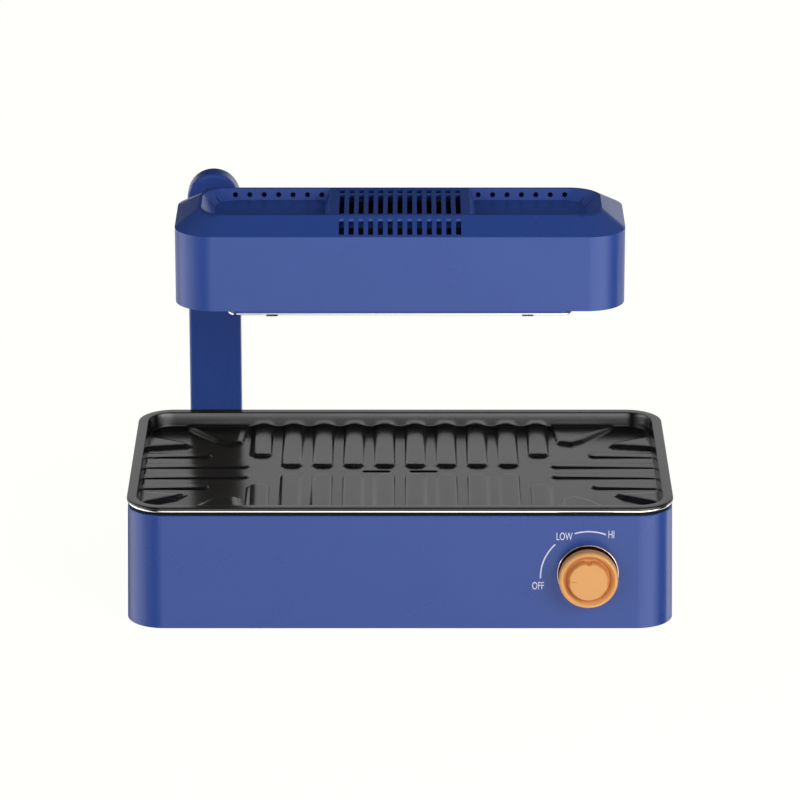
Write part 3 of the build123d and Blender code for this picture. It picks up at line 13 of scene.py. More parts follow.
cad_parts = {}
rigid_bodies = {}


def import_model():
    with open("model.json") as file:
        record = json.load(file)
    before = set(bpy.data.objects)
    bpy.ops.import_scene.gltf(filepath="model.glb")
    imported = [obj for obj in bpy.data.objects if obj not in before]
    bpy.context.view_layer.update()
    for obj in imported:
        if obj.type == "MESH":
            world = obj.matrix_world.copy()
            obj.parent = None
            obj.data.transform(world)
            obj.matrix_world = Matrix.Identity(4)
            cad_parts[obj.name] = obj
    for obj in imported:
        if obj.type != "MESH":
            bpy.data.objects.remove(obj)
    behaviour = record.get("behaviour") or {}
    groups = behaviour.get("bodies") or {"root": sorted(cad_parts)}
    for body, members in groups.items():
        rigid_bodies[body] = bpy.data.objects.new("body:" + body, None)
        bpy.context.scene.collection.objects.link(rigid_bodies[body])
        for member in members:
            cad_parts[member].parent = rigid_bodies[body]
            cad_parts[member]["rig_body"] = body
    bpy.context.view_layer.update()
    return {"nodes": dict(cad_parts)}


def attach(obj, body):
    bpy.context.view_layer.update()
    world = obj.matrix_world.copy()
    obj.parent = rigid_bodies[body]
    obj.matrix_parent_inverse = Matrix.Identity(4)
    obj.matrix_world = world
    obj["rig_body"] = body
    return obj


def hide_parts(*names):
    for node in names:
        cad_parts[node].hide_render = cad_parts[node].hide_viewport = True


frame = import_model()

MM = 0.001
MERGE = 2e-6  # metres under which two points of a CAD mesh are one
FLAT_DEGREES = 0.4  # the angle under which faces of a CAD mesh count as one flat face
BEVEL_DEGREES = 32.0  # the angle past which a moulded or pressed edge is broken
BEVEL_FACES = 2
FLAT_WEIGHT = 80  # how strongly large faces hold the shading of what adjoins them
SOFT_DEGREES = 28.0  # the angle under which a moulded or pressed surface is shaded smooth
SCREW_DEGREES = 30.0  # the same for turned and cut pieces
NOISE_LOW, NOISE_HIGH = 0.3, 0.7  # between these lie most values of a noise
LEAST_ROUGHNESS = 0.02
log = logging.getLogger("grill")


# Small tools for colours, nodes and meshes


def linear(colour: str) -> tuple[float, float, float, float]:
    """Turn an sRGB hex colour into linear RGBA.

    Args:
        colour: Six hex digits after a hash sign.

    Returns:
        The linear red, green and blue, and an alpha of one.
    """
    parts = [int(colour[at : at + 2], 16) / 255 for at in (1, 3, 5)]
    bent = [c / 12.92 if c <= 0.04045 else ((c + 0.055) / 1.055) ** 2.4 for c in parts]
    return (bent[0], bent[1], bent[2], 1.0)


def add_node(
    tree: bpy.types.NodeTree, kind: str, inputs: Optional[dict] = None, **settings: object
) -> bpy.types.Node:
    """Add one node with its settings, values and links.

    Args:
        tree: The tree that the node goes into.
        kind: The node's type name.
        inputs: Values, or sockets to link from, by input name or number.
        settings: Properties of the node by name.

    Returns:
        The new node.
    """
    node = tree.nodes.new(kind)
    for key, value in settings.items():
        setattr(node, key, value)
    for key, value in (inputs or {}).items():
        if isinstance(value, bpy.types.NodeSocket):
            tree.links.new(value, node.inputs[key])
        else:
            node.inputs[key].default_value = value
    return node


def fresh_tree(owner: bpy.types.ID) -> bpy.types.NodeTree:
    """Give a material or a world an empty node tree.

    Args:
        owner: The material or world.

    Returns:
        Its tree.
    """
    owner.use_nodes = True
    owner.node_tree.nodes.clear()
    return owner.node_tree


def new_object(name: str, data: bpy.types.ID) -> bpy.types.Object:
    """Put a mesh, curve, lamp or camera into the scene.

    Args:
        name: The object's name.
        data: Its data.

    Returns:
        The object, linked to the scene.
    """
    made = bpy.data.objects.new(name, data)
    bpy.context.scene.collection.objects.link(made)
    return made


def mesh_piece(
    name: str, points: np.ndarray, faces: Sequence, sharp_degrees: float = 35.0
) -> bpy.types.Object:
    """Make a shaded mesh object from points in millimetres, with its faces turned outwards.

    Args:
        name: The object's name.
        points: An array of points, in millimetres.
        faces: Tuples of point numbers.
        sharp_degrees: The angle past which an edge is shaded sharp.

    Returns:
        The object, linked to the scene.
    """
    mesh = bpy.data.meshes.new(name)
    mesh.from_pydata((np.asarray(points, float) * MM).tolist(), [], [tuple(map(int, f)) for f in faces])
    work = bmesh.new()
    work.from_mesh(mesh)
    bmesh.ops.remove_doubles(work, verts=work.verts, dist=MERGE / 2)
    bmesh.ops.recalc_face_normals(work, faces=work.faces)
    work.to_mesh(mesh)
    work.free()
    piece = new_object(name, mesh)
    shade(piece, sharp_degrees)
    return piece


def shade(piece: bpy.types.Object, sharp_degrees: float) -> None:
    """Shade a mesh smooth between its sharp edges.

    Args:
        piece: The mesh object.
        sharp_degrees: The angle past which an edge is shaded sharp.
    """
    mesh = piece.data
    mesh.polygons.foreach_set("use_smooth", [True] * len(mesh.polygons))
    mesh.set_sharp_from_angle(angle=math.radians(sharp_degrees))
    mesh.update()


def settle(piece: bpy.types.Object) -> None:
    """Turn a piece's modifiers into plain mesh and take them off.

    Args:
        piece: The mesh object.
    """
    view = bpy.context.evaluated_depsgraph_get()
    finished = bpy.data.meshes.new_from_object(piece.evaluated_get(view))
    piece.modifiers.clear()
    old = piece.data
    piece.data = finished
    bpy.data.meshes.remove(old)


def cut_away(piece: bpy.types.Object, cutter: bpy.types.Object, sharp_degrees: float = SCREW_DEGREES) -> None:
    """Cut one closed mesh out of another and remove it.

    Args:
        piece: The mesh object that is cut.
        cutter: The mesh object that is taken out of it.
        sharp_degrees: The angle past which an edge is then shaded sharp.
    """
    cut = piece.modifiers.new("cut", "BOOLEAN")
    cut.object, cut.solver = cutter, "EXACT"
    settle(piece)
    bpy.data.objects.remove(cutter)
    shade(piece, sharp_degrees)


def place(
    piece: bpy.types.Object,
    body: str,
    finish: "Finish",
    nodes: Sequence[str] = (),
    slot: Optional[str] = None,
) -> None:
    """Give a piece its finish and body, and let it stand for its CAD nodes.

    Args:
        piece: The finished piece.
        body: The body that it rides on.
        finish: Its finish.
        nodes: The CAD nodes that it stands for.
        slot: The record's material slot, where it isn't the finish's own; not used.
    """
    slot = slot or finish.slot
    piece.data.materials.clear()
    piece.data.materials.append(finish.material())
    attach(piece, body)
    if nodes:
        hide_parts(*nodes)
    log.info("%s rides on %s with %d faces", piece.name, body, len(piece.data.polygons))


def slot_of(node: str) -> str:
    """Give a CAD node's record slot, from its packed material's name, before it is dressed."""
    return frame["nodes"][node].data.materials[0].name.split(".")[0]


def body_of(node: str) -> str:
    """Give the body that a CAD node rides on."""
    return frame["nodes"][node]["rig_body"]


def refined_copy(node: str, edge_mm: float) -> bpy.types.Object:
    """Copy a CAD node, merge its flat faces and break its sharp edges, as a moulded or pressed part has them.

    Args:
        node: The CAD node.
        edge_mm: The width of the broken edge in millimetres.

    Returns:
        The copy as a plain mesh object.
    """
    mesh = frame["nodes"][node].data.copy()
    piece = new_object(node + "_made", mesh)
    if mesh.attributes.get("custom_normal"):
        mesh.attributes.remove(mesh.attributes["custom_normal"])
    work = bmesh.new()
    work.from_mesh(mesh)
    bmesh.ops.remove_doubles(work, verts=work.verts, dist=MERGE)
    bmesh.ops.dissolve_limit(
        work,
        angle_limit=math.radians(FLAT_DEGREES),
        verts=work.verts,
        edges=work.edges,
        use_dissolve_boundaries=False,
    )
    work.to_mesh(mesh)
    work.free()
    bevel = piece.modifiers.new("edges", "BEVEL")
    bevel.width, bevel.segments = edge_mm * MM, BEVEL_FACES
    bevel.limit_method, bevel.angle_limit = "ANGLE", math.radians(BEVEL_DEGREES)
    settle(piece)
    shade(piece, SOFT_DEGREES)
    # Large faces keep their own direction in shading, so that only edges and curves turn the light
    weighted = piece.modifiers.new("normals", "WEIGHTED_NORMAL")
    weighted.keep_sharp, weighted.weight = True, FLAT_WEIGHT
    settle(piece)
    return piece


# Finishes: each is named for the real material and how its surface was made. Grains too fine to show, such as
# rolling and drawing lines, are drawn a few tenths of a millimetre wide


class Pattern(Enum):
    """How a surface's fine pattern runs, with its scale along X, Y and Z."""

    EVEN = (1.0, 1.0, 1.0)
    ALONG_X = (0.02, 1.0, 1.0)
    ALONG_Y = (1.0, 0.02, 1.0)
    ROUND_KNOB = None


@dataclass(frozen=True)
class Finish:
    """A surface with two close colours, a roughness that wanders and a fine relief.

    Attributes:
        name: The material's common name and process.
        slot: The record's material slot.
        colour: The main colour.
        second: The colour that the main one drifts to.
        metallic: One for a bare metal.
        roughness: The middle roughness.
        spread: How far the roughness wanders either way.
        patch_mm: The size of the drifts of colour and roughness.
        grain_mm: The size of the relief.
        relief_mm: The depth of the relief.
        pattern: How the relief runs.
        specular: The specular level.
    """

    name: str
    slot: str
    colour: str
    second: str
    metallic: float = 0.0
    roughness: float = 0.4
    spread: float = 0.04
    patch_mm: float = 18.0
    grain_mm: float = 0.8
    relief_mm: float = 0.004
    pattern: Pattern = Pattern.EVEN
    specular: float = 0.5

    def material(self) -> bpy.types.Material:
        """Build the material, or find the one already built.

        Returns:
            The material.
        """
        known = bpy.data.materials.get(self.name)
        if known:
            return known
        made = bpy.data.materials.new(self.name)
        tree = fresh_tree(made)
        where = self.coordinates(tree)
        patch, grain = (
            add_node(
                tree,
                "ShaderNodeTexNoise",
                {"Vector": where, "Scale": 1 / (size * MM), "Detail": detail, "Roughness": roughness},
            ).outputs["Fac"]
            for size, detail, roughness in ((self.patch_mm, 2.0, 0.5), (self.grain_mm, 3.0, 0.6))
        )
        # Inputs 0, 6 and 7 of a colour mix are its factor and its two colours
        colour = add_node(
            tree,
            "ShaderNodeMix",
            {0: patch, 6: linear(self.colour), 7: linear(self.second)},
            data_type="RGBA",
        )
        rough = add_node(
            tree,
            "ShaderNodeMapRange",
            {
                "Value": patch, "From Min": NOISE_LOW, "From Max": NOISE_HIGH,
                "To Min": max(self.roughness - self.spread, LEAST_ROUGHNESS),
                "To Max": self.roughness + self.spread,
            },
        )
        relief = add_node(
            tree, "ShaderNodeBump", {"Height": grain, "Distance": self.relief_mm * MM, "Strength": 1.0}
        )
        shader = add_node(
            tree,
            "ShaderNodeBsdfPrincipled",
            {
                "Base Color": colour.outputs[2], "Roughness": rough.outputs["Result"],
                "Normal": relief.outputs["Normal"], "Metallic": self.metallic,
                "Specular IOR Level": self.specular,
            },
        )
        self.extra(tree, shader)
        add_node(tree, "ShaderNodeOutputMaterial", {"Surface": shader.outputs[0]})
        return made

    def coordinates(self, tree: bpy.types.NodeTree) -> bpy.types.NodeSocket:
        """Give the object's coordinates, drawn out along the way that the pattern runs.

        Args:
            tree: The material's tree.

        Returns:
            The socket with the coordinates; round the knob, these are the radius and the depth.
        """
        where = add_node(tree, "ShaderNodeTexCoord").outputs["Object"]
        if self.pattern is not Pattern.ROUND_KNOB:
            drawn = add_node(tree, "ShaderNodeMapping", {"Vector": where, "Scale": self.pattern.value})
            return drawn.outputs[0]
        back = (-KNOB.x * MM, 0.0, -KNOB.z * MM)
        centred = add_node(tree, "ShaderNodeMapping", {"Vector": where, "Location": back})
        parts = add_node(tree, "ShaderNodeSeparateXYZ", {0: centred.outputs[0]})
        flat = add_node(tree, "ShaderNodeCombineXYZ", {"X": parts.outputs["X"], "Y": parts.outputs["Z"]})
        reach = add_node(tree, "ShaderNodeVectorMath", {0: flat.outputs[0]}, operation="LENGTH")
        both = add_node(tree, "ShaderNodeCombineXYZ", {"X": reach.outputs["Value"], "Y": parts.outputs["Y"]})
        return both.outputs[0]

    def extra(self, tree: bpy.types.NodeTree, shader: bpy.types.Node) -> None:
        """Set what only some finishes have on the shader in its tree."""


@dataclass(frozen=True)
class ClearGlass(Finish):
    """A clear glass or quartz wall, which lets light through.

    Attributes:
        ior: Its index of refraction.
    """

    ior: float = 1.46

    def extra(self, tree: bpy.types.NodeTree, shader: bpy.types.Node) -> None:
        """Let the light through."""
        shader.inputs["Transmission Weight"].default_value = 1.0
        shader.inputs["IOR"].default_value = self.ior


@dataclass(frozen=True)
class RimPlatingWithPaintedShade(Finish):
    """A bright plating on a round rim, with painted shade inside it: its sunk floor is painted near black and
    not metallic.

    Attributes:
        floor_radius: The floor's radius, in millimetres.
        floor_shade_colour: Its colour.
    """

    floor_radius: float = 23.3
    floor_shade_colour: str = "#050405"

    def extra(self, tree: bpy.types.NodeTree, shader: bpy.types.Node) -> None:
        """Paint shade on what lies inside the rim: near black and not metallic, where the knob's skirt shades
        it.

        Args:
            tree: The material's tree.
            shader: Its shader.
        """
        radius = add_node(tree, "ShaderNodeSeparateXYZ", {0: self.coordinates(tree)}).outputs["X"]
        # Inside the floor radius the colour is painted shade: near black and not metallic
        rim = add_node(
            tree, "ShaderNodeMath", {0: radius, 1: self.floor_radius * MM}, operation="GREATER_THAN"
        )
        plated = shader.inputs["Base Color"].links[0].from_socket
        both = add_node(
            tree,
            "ShaderNodeMix",
            {0: rim.outputs[0], 6: linear(self.floor_shade_colour), 7: plated},
            data_type="RGBA",
        )
        tree.links.new(both.outputs[2], shader.inputs["Base Color"])
        tree.links.new(rim.outputs[0], shader.inputs["Metallic"])


@dataclass(frozen=True)
class KnobAxis:
    """Where the knob's axis stands on the front, in millimetres."""

    x: float = 147.4
    z: float = 48.3


KNOB = KnobAxis()

# Moulded heat-resistant ABS with a satin lacquer: a deep cobalt that shows soft broad reflections
SATIN_BLUE_ABS = Finish(
    "satin_lacquered_abs", "blue_plastic", "#34519F", "#314D99", roughness=0.26, spread=0.02, patch_mm=40.0,
    grain_mm=1.1, relief_mm=0.0022,
)
# Cast aluminium sprayed with a black PTFE coat: near black, with a grey sheen at a low angle
PTFE_COATED_CASTING = Finish(
    "ptfe_coated_aluminium", "black_coating", "#131312", "#171615", roughness=0.19, spread=0.02,
    patch_mm=30.0, grain_mm=0.7, relief_mm=0.0004, specular=0.62,
)
# Stainless sheet, deep-drawn and polished: a bright line under the pan
POLISHED_STAINLESS_SHEET = Finish(
    "polished_stainless_sheet", "polished_tray", "#EDEBE8", "#E2E0DD", metallic=1.0, roughness=0.07,
    spread=0.02, patch_mm=14.0, grain_mm=0.5, relief_mm=0.0002, pattern=Pattern.ALONG_X,
)
# Compression-moulded silicone rubber: matt black with a dusty grain
BLACK_SILICONE = Finish(
    "moulded_black_silicone", "black_rubber", "#060607", "#0A0A0B", roughness=0.62, grain_mm=0.5,
    relief_mm=0.006, specular=0.15,
)
# ABS plated copper-gold under a satin clear lacquer, which spreads its shine: warm, with soft highlights
COPPER_PLATED_ABS = Finish(
    "copper_plated_abs", "copper_knob", "#EDB070", "#E8A96A", metallic=0.15, roughness=0.42, spread=0.03,
    patch_mm=12.0, grain_mm=0.35, relief_mm=0.0012, pattern=Pattern.ROUND_KNOB, specular=0.2,
)
# The thin bezel, plated and polished brighter than the knob, with shade painted near black on its sunk floor
POLISHED_BEZEL_WITH_PAINTED_SHADE = RimPlatingWithPaintedShade(
    "polished_copper_bezel_painted_shade", "copper_knob", "#F2E2DE", "#E9D5CF", metallic=1.0, roughness=0.12, spread=0.03,
    patch_mm=10.0, grain_mm=0.4, relief_mm=0.0005, pattern=Pattern.ROUND_KNOB,
)
# Glass-filled PBT for electrical parts: flat black with flow marks
BLACK_PBT = Finish(
    "glass_filled_pbt", "black_plastic", "#141415", "#1B1B1C", roughness=0.5, patch_mm=7.0, grain_mm=0.4,
    relief_mm=0.008,
)
# Steel with a bright zinc plating: bluish, slightly cloudy
ZINC_PLATED_STEEL = Finish(
    "zinc_plated_steel", "zinc_steel", "#C3C8CC", "#AEB4B8", metallic=1.0, roughness=0.34, spread=0.07,
    patch_mm=5.0, grain_mm=0.6, relief_mm=0.003,
)
# Turned brass: warm yellow with tool marks round it
TURNED_BRASS = Finish(
    "turned_brass", "brass_parts", "#D2AA5F", "#C79C4E", metallic=1.0, roughness=0.26, patch_mm=4.0,
    grain_mm=0.4, relief_mm=0.002,
)
# Drawn stainless wire, electropolished
POLISHED_WIRE = Finish(
    "electropolished_wire", "polished_wire", "#EFEFEE", "#E4E4E2", metallic=1.0, roughness=0.14, spread=0.03,
    patch_mm=20.0, grain_mm=0.4, relief_mm=0.0006, pattern=Pattern.ALONG_Y,
)
# Rolled aluminium sheet with a bright anodised skin: rolling lines along its length
BRIGHT_ALUMINIUM = Finish(
    "bright_anodised_aluminium", "bright_reflector", "#E3E5E8", "#D5D8DB", metallic=1.0, roughness=0.2,
    spread=0.04, patch_mm=16.0, grain_mm=0.5, relief_mm=0.001, pattern=Pattern.ALONG_X,
)
# Drawn fused quartz: clear, with faint draw lines
FUSED_QUARTZ = ClearGlass(
    "fused_quartz", "quartz", "#F6F8F9", "#F1F5F7", roughness=0.04, spread=0.02, patch_mm=20.0, grain_mm=1.0,
    relief_mm=0.0006, pattern=Pattern.ALONG_X,
)
# Pressed steatite: unglazed, chalky white
PRESSED_STEATITE = Finish(
    "pressed_steatite", "ceramic_holder", "#DDD6C8", "#D2CABA", roughness=0.7, patch_mm=4.0, grain_mm=0.4,
    relief_mm=0.012,
)
# Woven carbon emitter strip: dull grey black
CARBON_STRIP = Finish(
    "carbon_fibre_strip", "carbon_strip", "#2B2B2C", "#1D1D1E", metallic=0.4, roughness=0.5, patch_mm=2.0,
    grain_mm=0.6, relief_mm=0.02,
)
# Pad-printed ink: white with a trace of the blue beneath
PAD_PRINT_INK = Finish(
    "pad_printed_ink", "blue_plastic", "#E9EAF6", "#DFE1F2", roughness=0.5, patch_mm=3.0, grain_mm=0.3,
    relief_mm=0.001,
)


# Outlines and skins


@dataclass(frozen=True)
class PlanOutline:
    """The rounded outline that pan, tray and base share, in millimetres.

    Attributes:
        length: Its length along X.
        depth: Its depth along Y.
        radius: Its corner radius.
        step: The spacing of the points along its sides.
        arc_steps: The number of points in half of a corner.
    """

    length: float = 430.0
    depth: float = 240.0
    radius: float = 28.75
    step: float = 1.25
    arc_steps: int = 9

    def core(self) -> tuple[float, float]:
        """Give how far the middles of the corners are from the middle along X and Y."""
        return self.length / 2 - self.radius, self.depth / 2 - self.radius

    def counts(self) -> tuple[int, int]:
        """Count the steps along a long side and a short side, half corners included."""
        long_steps, short_steps = (2 * round(half / self.step) + 2 * self.arc_steps for half in self.core())
        return long_steps, short_steps

    def roots(self) -> tuple[np.ndarray, np.ndarray]:
        """Find what every loop shares, from the middle of the front-left corner.

        Returns:
            The places on the inner core and the outward directions of all points.
        """
        x, y = self.core()
        corners = ((-x, -y), (x, -y), (x, y), (-x, y), (-x, -y))
        bases, ways = [], []
        for side, (start, end) in enumerate(zip(corners, corners[1:])):
            steps = self.counts()[side % 2] - 2 * self.arc_steps
            heading = 90.0 * (side - 1)
            for index in range(self.arc_steps):
                bases.append(start)
                ways.append(heading - 45 + 45 * index / self.arc_steps)
            for index in range(steps + 1):
                share = index / steps
                bases.append(tuple(a + (b - a) * share for a, b in zip(start, end)))
                ways.append(heading)
            for index in range(1, self.arc_steps):
                bases.append(end)
                ways.append(heading + 45 * index / self.arc_steps)
        headings = np.radians(ways)
        return np.array(bases), np.stack([np.cos(headings), np.sin(headings)], 1)

    def loop(self, inset: float, z: float) -> np.ndarray:
        """Give the outline moved inwards, at a height.

        Args:
            inset: How far it moves inwards.
            z: The height.

        Returns:
            The closed loop of points.
        """
        bases, ways = self.roots()
        flat = bases + ways * (self.radius - inset)
        return np.column_stack([flat, np.full(len(flat), z)])


class Ends(Enum):
    """How the two ends of a skin are closed."""

    OPEN = "open"
    CAPPED = "capped"
    JOINED = "joined"


def skin(loops: Sequence[np.ndarray], ends: Ends = Ends.CAPPED) -> tuple[np.ndarray, list]:
    """Skin loops of equal length with four-sided faces.

    Args:
        loops: Closed loops of points.
        ends: Whether the ends stay open, get a flat cap each or are joined.

    Returns:
        The points and the faces.
    """
    count, last = len(loops[0]), len(loops) - 1
    faces = []
    for row in range(len(loops) if ends is Ends.JOINED else last):
        near, far = row * count, (row + 1) % len(loops) * count
        faces += [(near + i, near + (i + 1) % count, far + (i + 1) % count, far + i) for i in range(count)]
    if ends is Ends.CAPPED:
        faces += [tuple(range(count)), tuple(range(last * count, len(loops) * count))]
    return np.concatenate(loops), faces


def arc_profile(centre: tuple[float, float], radius: float, start: float, end: float, steps: int) -> list:
    """Give points on an arc of a profile.

    Args:
        centre: The arc's centre.
        radius: Its radius.
        start: The angle that it starts at, in degrees.
        end: The angle that it ends at.
        steps: The number of steps between them.

    Returns:
        The points.
    """
    angles = np.radians(np.linspace(start, end, steps + 1))
    return [(centre[0] + radius * math.cos(a), centre[1] + radius * math.sin(a)) for a in angles]


# Grill pan and drip tray


@dataclass
class GrillPan:
    """The ribbed pan: a flat rim, a shallow well, soft ribs and two drain slots, in millimetres.

    The ribs' steps are steep flanks that read as fine lines, and their crowns are the soft arches between
    them. The grid's spacing fits the ribs' sizes, so that a flank follows a row of points.

    Attributes:
        under_rim: Insets, and heights over the rim's underside, of the section's points there.
        rim_flat: Insets of the points on top of the rim.
        end_fade: The share by which the end ribs sink towards the wall.
        end_rib_tips: The inner end of each end rib along X, and its middle along Y.
        long_wall_rib: The corners of the raised field by the long wall.
        end_wall_rib: The corners of the raised field by the end wall.
        wall_round: How far in these fields stay arched.
        slot_reach: How far the slots' cutters reach past the floor.
    """

    outline: PlanOutline = field(default_factory=PlanOutline)
    rim_top: float = 102.2
    flange_low: float = 100.3
    valley: float = 90.2
    low: float = 87.7
    outer_inset: float = 6.0
    inner_inset: float = 8.0
    draft_run: float = 2.0
    well_radius: float = 1.3
    lip_radius: float = 0.7
    edge_radius: float = 0.8
    foot_radius: float = 2.5
    under_rim: tuple = ((6.15, -0.2), (5.9, 0.0), (0.8, 0.0), (0.25, 0.2), (0.0, 0.55))
    rim_flat: tuple = (2.2, 4.2)
    well_steps: int = 6
    rib_step: float = 1.5
    rib_crown: float = 1.1
    rib_flank: float = 1.25
    rib_roll: float = 0.15
    rib_roll_run: float = 2.5
    end_step: float = 1.2
    end_crown: float = 0.3
    end_flank: float = 1.25
    end_fade: float = 0.65
    wall_step: float = 2.0
    wall_crown: float = 0.8
    wall_flank: float = 2.4
    wall_round: float = 6.25
    rib_pitch: float = 25.0
    rib_width: float = 17.5
    rib_end_radius: float = 5.0
    ribs_a_side: int = 5
    rib_gap: float = 10.0
    outer_rib_gap: float = 35.0
    end_rib_width: float = 12.5
    end_rib_tips: tuple = ((121.25, 12.5), (152.5, 37.5))
    long_wall_rib: tuple = ((129.0, 66.0), (140.0, 62.0), (150.0, 70.0), (178.0, 107.0), (124.0, 107.0))
    end_wall_rib: tuple = ((171.0, 58.0), (206.0, 52.0), (206.0, 84.0), (176.0, 66.0))
    sharp_degrees: float = 40.0
    slot_x: float = 19.0
    slot_length: float = 23.0
    slot_width: float = 5.4
    slot_arc_points: int = 9
    slot_reach: float = 3.0

    def rib_rise(self, x: np.ndarray, y: np.ndarray) -> np.ndarray:
        """Give the height of the ribs over the valley at each place.

        Args:
            x: Places along the pan.
            y: Places across the pan, in an array of the same shape.

        Returns:
            The heights, nought in the valleys.
        """
        x, y = np.abs(x), np.abs(y)
        rise = np.zeros(x.shape)
        far = self.outline.depth / 2
        for index in range(self.ribs_a_side):
            gap = self.outer_rib_gap if index == self.ribs_a_side - 1 else self.rib_gap
            middle, half = (index + 0.5) * self.rib_pitch, self.rib_width / 2
            inside = box_inside(x, y, (middle, (gap + far) / 2), (half, (far - gap) / 2), self.rib_end_radius)
            arch = np.clip(1 - ((x - middle) / half) ** 2, 0, 1)
            roll = self.rib_roll * (1 - np.clip((inside - self.rib_flank) / self.rib_roll_run, 0, 1)) ** 2
            height = self.rib_step + self.rib_crown * arch - roll
            rise = np.maximum(rise, soft_step(inside / self.rib_flank) * height)
        far = self.outline.length / 2
        half = self.end_rib_width / 2
        for tip, middle in self.end_rib_tips:
            inside = box_inside(x, y, ((tip + far) / 2, middle), ((far - tip) / 2, half), half)
            arch = np.clip(1 - ((y - middle) / half) ** 2, 0, 1)
            fade = 1 - self.end_fade * np.clip((x - tip) / (far - tip), 0, 1)
            height = (self.end_step + self.end_crown * arch) * fade
            rise = np.maximum(rise, soft_step(inside / self.end_flank) * height)
        for corners in (self.long_wall_rib, self.end_wall_rib):
            inside = polygon_inside(x, y, corners)
            arch = 1 - (1 - np.clip(inside / self.wall_round, 0, 1)) ** 2
            flank = soft_step((inside + self.wall_flank / 2) / self.wall_flank)
            rise = np.maximum(rise, flank * (self.wall_step + self.wall_crown * arch))
        return rise

    def wall_inset(self, z: float) -> float:
        """Give the inset of the well's sloping wall at a height."""
        return self.inner_inset + self.draft_run * (self.rim_top - z) / (self.rim_top - self.valley)

    def profile(self) -> list[tuple[float, float]]:
        """Draw the section from the underside round the rim to the well's floor.

        Returns:
            Insets and heights.
        """
        foot, edge, lip, well = self.foot_radius, self.edge_radius, self.lip_radius, self.well_radius
        wall_low, wall_high = self.valley + well, self.rim_top - lip
        rows = arc_profile((self.outer_inset + self.draft_run + foot, self.low + foot), foot, -90, -180, 4)
        rows += [(inset, self.flange_low + rise) for inset, rise in self.under_rim]
        rows += arc_profile((edge, self.rim_top - edge), edge, 180, 90, 4)
        rows += [(inset, self.rim_top) for inset in self.rim_flat]
        rows += arc_profile((self.inner_inset - lip, wall_high), lip, 90, 10, 5)
        rows += [(self.wall_inset(z), z) for z in np.linspace(wall_high, wall_low, 5)[1:-1]]
        rows += arc_profile((self.wall_inset(wall_low) + well, wall_low), well, 180, 270, self.well_steps)
        return rows

    def build(self) -> bpy.types.Object:
        """Build the pan as one closed mesh.

        Returns:
            The pan's object.
        """
        loops = [self.outline.loop(inset, z) for inset, z in self.profile()]
        for loop in loops[-self.well_steps - 1 :]:
            loop[:, 2] = np.maximum(loop[:, 2], self.valley + self.rib_rise(loop[:, 0], loop[:, 1]))
        points, faces = skin(loops, Ends.OPEN)
        faces.append(tuple(range(len(loops[0]))))
        grid_points, grid_faces = self.floor_grid(loops[-1])
        faces += [tuple(n + len(points) for n in face) for face in grid_faces]
        piece = mesh_piece("pan_plate", np.concatenate([points, grid_points]), faces, self.sharp_degrees)
        self.cut_slots(piece)
        return piece

    def floor_grid(self, border: np.ndarray) -> tuple[np.ndarray, list]:
        """Fill the well's floor with a grid that meets the last loop, and raise the ribs on it.

        Args:
            border: The closed loop round the floor, from the middle of the front-left corner.

        Returns:
            The grid's points and faces.
        """
        long_steps, short_steps = self.outline.counts()
        front = border[: long_steps + 1]
        right = border[long_steps : long_steps + short_steps + 1]
        back = border[long_steps + short_steps : 2 * long_steps + short_steps + 1][::-1]
        left = np.vstack([border[2 * long_steps + short_steps :], border[:1]])[::-1]
        u = np.linspace(0, 1, long_steps + 1)[None, :, None]
        v = np.linspace(0, 1, short_steps + 1)[:, None, None]
        grid = (
            (1 - v) * front[None] + v * back[None] + (1 - u) * left[:, None] + u * right[:, None]
            - (1 - u) * (1 - v) * front[0] - u * (1 - v) * front[-1]
            - (1 - u) * v * back[0] - u * v * back[-1]
        )
        inner = grid[1:-1, 1:-1]
        inner[..., 2] = self.valley + self.rib_rise(inner[..., 0], inner[..., 1])
        wide = long_steps + 1
        faces = [
            (row * wide + col, row * wide + col + 1, (row + 1) * wide + col + 1, (row + 1) * wide + col)
            for row in range(short_steps)
            for col in range(long_steps)
        ]
        return grid.reshape(-1, 3), faces

    def cut_slots(self, piece: bpy.types.Object) -> None:
        """Cut the two drain slots through the floor.

        Args:
            piece: The pan's object.
        """
        end = self.slot_width / 2
        run = self.slot_length / 2 - end
        count = self.slot_arc_points
        turn = np.radians(np.concatenate([np.linspace(-90, 90, count), np.linspace(90, 270, count)]))
        for side in (-1, 1):
            shift = np.repeat([run, -run], count) + side * self.slot_x
            flat = np.column_stack([shift + end * np.cos(turn), end * np.sin(turn)])
            levels = (self.low - self.slot_reach, self.valley + self.slot_reach)
            rings = [np.column_stack([flat, np.full(len(flat), z)]) for z in levels]
            cut_away(piece, mesh_piece("slot_cutter", *skin(rings)), self.sharp_degrees)

    def dress(self) -> None:
        """Build the pan and let it stand for its CAD node."""
        place(self.build(), "pan", PTFE_COATED_CASTING, ["grill_pan"])


def soft_step(share: np.ndarray) -> np.ndarray:
    """Rise smoothly from nought to one, with the share of the way that each place has gone."""
    held = np.clip(share, 0, 1)
    return held**2 * (3 - 2 * held)


def box_inside(x: np.ndarray, y: np.ndarray, middle: tuple, half: tuple, radius: float) -> np.ndarray:
    """Give how far inside a rounded box each place lies.

    Args:
        x: Places along X.
        y: Places along Y.
        middle: The box's middle.
        half: Its half sizes.
        radius: Its corner radius.

    Returns:
        The distance to the edge, below nought outside.
    """
    across = np.abs(x - middle[0]) - half[0] + radius
    along = np.abs(y - middle[1]) - half[1] + radius
    outside = np.hypot(np.maximum(across, 0), np.maximum(along, 0))
    return radius - outside - np.minimum(np.maximum(across, along), 0)


